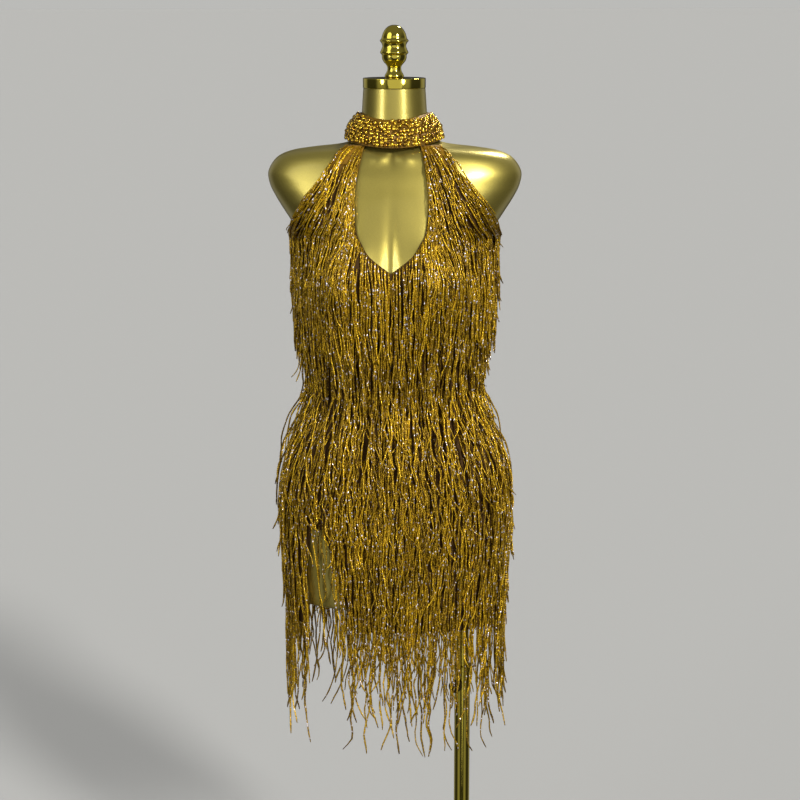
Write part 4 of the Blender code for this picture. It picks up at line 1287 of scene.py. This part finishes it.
def strand_lines(row, sizes, rng):
    """Points down the middle of each strand of a row, and the width of each."""
    count = len(row.deg)
    share = np.linspace(0.0, 1.0, LEVELS)[None, :]
    side_on = np.cos(np.radians(row.deg)) ** 2
    length, side_cut, *hang = (by_height(HANGS, row.z, column) for column in range(1, HANG_SHARE))
    clear, flare, arch, wavy = (values[:, None] for values in hang)
    length = length * (1.0 - side_cut * side_on) * rng.uniform(*STRAND_LENGTHS, count)
    length = off_slit(row, length, rng)
    z = row.z[:, None] - length[:, None] * share
    degrees = row.deg[:, None] + np.zeros_like(z) if row.share is None else strap_lines(row, z)
    metres = math.radians(1.0) * reach(off_body(row.z, row.deg, ROOT_OUT))[:, None]
    lock = sizes.lock_width / metres[:, 0]
    number = np.floor(row.deg / lock)
    middle = (number + 0.5 + LOCK_SHIFT * np.sin(LOCK_SHUFFLE * number)) * lock
    pull = ((middle - row.deg) * metres[:, 0] * rng.uniform(0.0, LOCK_PULL, count))[:, None]
    wild = (rng.random((count, 1)) < sizes.wild * wavy) * 1.0
    wander = rng.normal(0.0, sizes.wander, (count, 1)) * (1.0 + WILD_WANDER * wild)
    bend = rng.normal(0.0, sizes.wander, (count, 1)) * (BEND + WILD_BEND * wild)
    tip = np.maximum((share - TIP_FROM) / TIP_SHARE, 0.0) ** 2
    rooted = np.minimum(share * ROOT_STIFF, 1.0)
    sideways = wander * share + bend * (share**3 - share) + tip * rng.normal(0.0, sizes.curl, (count, 1))
    sideways = sideways + waves(share, count, LONG_WAVE, rng) + waves(share, count, SHORT_WAVE, rng)
    sideways = sideways + share * waves(share, count, TIP_WAVE, rng)
    sideways = wavy * sideways + pull * np.sin(0.5 * math.pi * share)
    sideways = sideways + rng.normal(0.0, KINK, (count, LEVELS))
    degrees = degrees + sideways * rooted / metres
    if row.share is not None:
        degrees = kept_on_strap(row, z, degrees, OVERHANG / metres)
    out = NEAR_OUT + (FAR_OUT - NEAR_OUT) * np.minimum(share * OUT_RISE, 1.0)
    lift = rng.uniform(0.0, LIFT, (count, 1)) + wild * rng.uniform(0.0, WILD_LIFT, (count, 1))
    lift = lift + tip * np.abs(rng.normal(0.0, TIP_LIFT * sizes.curl, (count, 1)))
    loose = rng.uniform(0.0, 1.0, (count, 1))
    lift = lift + share**2 * flare * loose**2
    arch = arch * (ARCH_IN_FRONT + (1.0 - ARCH_IN_FRONT) * side_on[:, None])
    lift = lift + np.sin(math.pi * share) * arch * (ARCH_LEAST + (1.0 - ARCH_LEAST) * loose)
    out = ROOT_OUT + (out - ROOT_OUT + lift) * rooted + waves(share, count, OUT_WAVE, rng)
    points = off_body(z, degrees, np.maximum(out, ROOT_OUT))
    far = reach(points)
    stretch = 1.0 + (np.maximum.accumulate(far, axis=1) / far - 1.0) * clear
    points[..., 0] = FORM_X + (points[..., 0] - FORM_X) * stretch
    points[..., 1] *= stretch
    width = sizes.strand_width * rng.uniform(*STRAND_WIDTHS, count)
    return points, width * np.where(row.z < HEM_ROWS_Z, HEM_WIDER, 1.0)


def off_slit(row, length, rng):
    """The lengths, many of them cut short where a strand would hang over the slit."""
    ends = row.z - length
    low, high = slit_edges(np.maximum(ends, HEM_Z))
    over = (ends < SLIT_TOP_Z) & (row.z > SLIT_TOP_Z) & (row.deg > low) & (row.deg < high)
    cut = over & (rng.random(len(length)) > OVER_SLIT)
    short = np.maximum(row.z - SLIT_TOP_Z - rng.uniform(*SLIT_CUTS, len(length)), SLIT_SHORTEST)
    return np.where(cut, np.minimum(short, length), length)


def prism_quads(number):
    """Quads along prisms, from the numbers of their corners: the last two axes run along and round."""
    after = np.roll(number, -1, axis=-1)
    corners = (number[..., :-1, :], number[..., 1:, :], after[..., 1:, :], after[..., :-1, :])
    return np.stack(corners, axis=-1).reshape(-1, 4)


def strand_tubes(lines, width, rng):
    """Points, faces and tints of the strands: twisted prisms whose facets catch the light in turn."""
    count = len(lines)
    along = np.gradient(lines, axis=1)
    outward = lines - np.array([FORM_X, 0.0, 0.0])
    outward[..., 2] = 0.0
    side = unit(np.cross(along, outward))
    outward = unit(np.cross(side, along))
    twist = rng.uniform(0.0, math.tau, (count, 1))
    twist = twist + np.cumsum(rng.uniform(*TWISTS, (count, LEVELS)), axis=1)
    taper = np.linspace(1.0, TIP_WIDTH, LEVELS)[None, :] * rng.uniform(*BEAD_WIDTHS, (count, LEVELS))
    radius = width[:, None] / 2.0 * taper
    radius[:, -1] *= END_WIDTH
    rings = []
    for k in range(SIDES):
        turn = twist + math.tau * k / SIDES
        a, b = radius * np.cos(turn), radius * np.sin(turn)
        rings.append(lines + a[..., None] * side + b[..., None] * outward)
    points = np.stack(rings, axis=2)
    number = np.arange(count * LEVELS * SIDES).reshape(count, LEVELS, SIDES)
    quads = np.concatenate([prism_quads(number), number[:, 0], number[:, -1, ::-1]])
    tint = STRAND_TINT * rng.uniform(0.0, 1.0, (count, 1)) ** STRAND_TINT_POWER
    tint = np.repeat((tint + rng.uniform(0.0, BEAD_TINT, (count, LEVELS)))[:, :, None], SIDES, axis=2)
    return points.reshape(-1, 3), quads, tint.ravel()


def tape_strip(row):
    """Points and faces of the tape that a row is sewn to: four corners at each angle, flat on the net."""
    picked = np.unique(np.linspace(0, len(row.deg) - 1, min(len(row.deg), TAPE_COLUMNS)).astype(int))
    order = np.argsort(row.deg)[picked]
    corners = []
    face = ROOT_OUT + TAPE_OUT
    for rise, out in ((0.5, ROOT_OUT), (0.5, face), (-0.5, face), (-0.5, ROOT_OUT)):
        corners.append(off_body(row.z[order] + rise * TAPE_HEIGHT, row.deg[order], out))
    points = np.stack(corners, axis=1)
    number = np.arange(points.size // 3).reshape(points.shape[:2])
    ends = np.array([number[0], number[-1, ::-1]])
    return points.reshape(-1, 3), np.concatenate([prism_quads(number), ends])[:, ::-1]


class DRESS_OT_fringe(bpy.types.Operator):
    """Builds the bead fringe, one piece for each tape of the dress"""

    bl_idname = "dress.fringe"
    bl_label = "Bead fringe"

    def execute(self, context):
        sizes = context.scene.dress_fringe
        rng = np.random.default_rng(sizes.seed)
        rows = fringe_rows(sizes.spacing, rng)
        for node in sorted({row.node for row in rows}):
            points, tints, faces, tapes, start = [], [], [], [], 0
            for row in (row for row in rows if row.node == node):
                tube, quads, tint = strand_tubes(*strand_lines(row, sizes, rng), rng)
                points.append(tube)
                tints.append(tint)
                faces.append(quads + start)
                start += len(tube)
                if row.taped:
                    tape, strip = tape_strip(row)
                    points.append(tape)
                    tints.append(np.zeros(len(tape)))
                    tapes.append(strip + start)
                    start += len(tape)
            strands, tapes = np.concatenate(faces), np.concatenate(tapes)
            mesh = fill_mesh(node, np.concatenate(points), [strands, tapes])
            set_attribute(mesh, "tint", "FLOAT", np.concatenate(tints))
            add_piece(node + "_beads", mesh, glass_beads, "form", [node])
            mesh.materials.append(finish(stretch_net))
            is_tape = np.repeat([0, 1], [len(strands), len(tapes)])
            mesh.polygons.foreach_set("material_index", is_tape.astype(np.int32))
        return {"FINISHED"}


# The flat cut of each piece of cloth: its width at the widest, its length, its area and what is sewn to it.
# The net is cut 6% narrower than it lies, and the rings of fringe are sewn on from the back round
FRONT_FRINGE = ("fringe_strap_top", "fringe_strap_mid", "fringe_bust")
BACK_FRINGE = ("fringe_back_top", *[zone.node for zone in RING_ZONES])
COLLAR_TRIM = ("collar_cut_stones", "domed_button_lower", "domed_button_upper")
CUTS = table("Cut", "piece width length area sewn", [
    ("net_front_left", 0.210, 0.813, 0.125, [name + "_left_beads" for name in FRONT_FRINGE]),
    ("net_front_right", 0.210, 0.813, 0.116, [name + "_right_beads" for name in FRONT_FRINGE]),
    ("net_back", 0.446, 0.601, 0.224, [name + "_beads" for name in BACK_FRINGE]),
    ("collar_cloth", 0.440, 0.045, 0.0178, COLLAR_TRIM),
])


class DRESS_OT_cloth_sizes(bpy.types.Operator):
    """Does nothing: the flat cut of each piece of cloth and what is sewn to it stand in the table above,
    which nothing reads
    """

    bl_idname = "dress.cloth_sizes"
    bl_label = "Cloth sizes"

    def execute(self, context):
        return {"FINISHED"}


class DRESS_OT_stage(bpy.types.Operator):
    """Builds the floor, the backdrop, the studio light and the camera"""

    bl_idname = "dress.stage"
    bl_label = "Stage"

    def execute(self, context):
        colours, strengths = context.scene.dress_colours, context.scene.dress_light
        corners = np.array([(-1, -1, 0), (1, -1, 0), (1, 1, 0), (-1, 1, 0)]) * FLOOR_HALF
        floor = add_object("floor", fill_mesh("floor", corners, [np.array([[0, 1, 2, 3]])]))
        floor.data.materials.append(matt_paint(colours))
        # The metal mirrors the room below, which is darker than this floor
        floor.visible_glossy = False
        floor.visible_diffuse = False
        for light in LIGHTS:
            data = bpy.data.lights.new(light.name, "SUN")
            data.angle = math.radians(light.spread)
            data.energy = getattr(strengths, light.setting)
            data.color = light.colour
            lamp = add_object(light.name, data)
            lamp.rotation_euler = (math.radians(90.0 - light.up), 0.0, math.radians(light.right))
            lamp.location = (0.0, 0.0, LIGHT_HEIGHT)
        self.set_room(context, colours.backdrop, strengths.room)
        self.add_camera(context)
        return {"FINISHED"}

    def set_room(self, context, backdrop, strength):
        """A room that is light above and has soft bright and dark panels round it."""
        world = bpy.data.worlds.new("studio room")
        world.use_nodes = True
        tree = world.node_tree
        place = add_node(tree, "TexCoord").outputs["Generated"]
        height = add_node(tree, "SeparateXYZ", {"Vector": place}).outputs["Z"]
        rise = {"Value": height, "From Min": -0.2, "From Max": 0.9, "To Min": 0.5, "To Max": 1.0}
        light_above = add_node(tree, "MapRange", rise).outputs[0]
        around = add_node(tree, "TexGradient", {"Vector": place}, gradient_type="RADIAL").outputs["Fac"]
        turns = {0: around, 1: ROOM_PANELS * math.tau}
        turn = add_node(tree, "Math", turns, operation="MULTIPLY").outputs[0]
        wave = add_node(tree, "Math", {0: turn}, operation="COSINE").outputs[0]
        swing = {"Value": wave, "From Min": 0.2, "From Max": -0.95, "To Min": 0.35, "To Max": 2.8}
        panels = add_node(tree, "MapRange", swing, interpolation_type="SMOOTHSTEP").outputs[0]
        high_up = {"Value": height, "From Min": 0.2, "From Max": 0.6}
        overhead = add_node(tree, "MapRange", high_up).outputs[0]
        evened = {MIX_FACTOR: overhead, NUMBER_A: panels, NUMBER_B: 1.0}
        even = add_node(tree, "Mix", evened, data_type="FLOAT").outputs[0]
        glow = add_node(tree, "Math", {0: light_above, 1: even}, operation="MULTIPLY").outputs[0]
        lit = tree.nodes["Background"]
        set_inputs(tree, lit, {"Color": glow, "Strength": strength})
        seen = add_node(tree, "LightPath").outputs["Is Camera Ray"]
        plain = add_node(tree, "Background", {"Color": rgba(backdrop)})
        both = add_node(tree, "MixShader", {0: seen, 1: lit.outputs[0], 2: plain.outputs[0]})
        set_inputs(tree, tree.nodes["World Output"], {"Surface": both.outputs[0]})
        context.scene.world = world

    def add_camera(self, context):
        data = bpy.data.cameras.new("camera")
        data.sensor_width = SENSOR * 1000.0
        data.lens = FOCAL_PIXELS / IMAGE_PIXELS * data.sensor_width
        camera = add_object("camera", data)
        turn = math.radians(CAMERA_AZIMUTH)
        across, ahead = CAMERA_DISTANCE * math.sin(turn), CAMERA_DISTANCE * math.cos(turn)
        place = Matrix.Translation((FORM_X + across, -ahead, CAMERA_HEIGHT))
        aim = Matrix.Rotation(math.radians(CAMERA_AZIMUTH - CAMERA_AIM_RIGHT), 4, "Z")
        tilt = Matrix.Rotation(math.radians(90.0 - CAMERA_PITCH), 4, "X")
        roll = Matrix.Rotation(math.radians(CAMERA_ROLL), 4, "Z")
        camera.matrix_world = place @ aim @ tilt @ roll
        context.scene.camera = camera
        context.scene.view_settings.view_transform = "Standard"


class DRESS_PT_panel(bpy.types.Panel):
    """Lists the steps that build the dress, with their sizes and colours"""

    bl_label = "Fringe dress"
    bl_idname = "DRESS_PT_panel"
    bl_space_type = "VIEW_3D"
    bl_region_type = "UI"
    bl_category = "Dress"

    def draw(self, context):
        layout = self.layout
        for operator in OPERATORS:
            layout.operator(operator.bl_idname)
        for name in GROUPS:
            group = getattr(context.scene, name)
            box = layout.box()
            box.label(text=name.removeprefix("dress_").capitalize())
            for key in group.__annotations__:
                box.prop(group, key)


OPERATORS = (
    DRESS_OT_form,
    DRESS_OT_metalwork,
    DRESS_OT_screw,
    DRESS_OT_net,
    DRESS_OT_collar,
    DRESS_OT_fringe,
    DRESS_OT_cloth_sizes,
    DRESS_OT_stage,
)
GROUPS = {
    "dress_fringe": FringeSizes,
    "dress_collar": CollarSizes,
    "dress_colours": FinishColours,
    "dress_light": StageLight,
}


def register():
    for cls in (*GROUPS.values(), *OPERATORS, DRESS_PT_panel):
        bpy.utils.register_class(cls)
    for name, group in GROUPS.items():
        setattr(bpy.types.Scene, name, PointerProperty(type=group))


def unregister():
    for name in GROUPS:
        delattr(bpy.types.Scene, name)
    for cls in (DRESS_PT_panel, *reversed(OPERATORS), *GROUPS.values()):
        bpy.utils.unregister_class(cls)


def main():
    register()
    bpy.ops.dress.form()
    bpy.ops.dress.metalwork()
    bpy.ops.dress.screw()
    bpy.ops.dress.net()
    bpy.ops.dress.collar()
    bpy.ops.dress.fringe()
    bpy.ops.dress.cloth_sizes()
    bpy.ops.dress.stage()


if __name__ == "__main__":
    main()
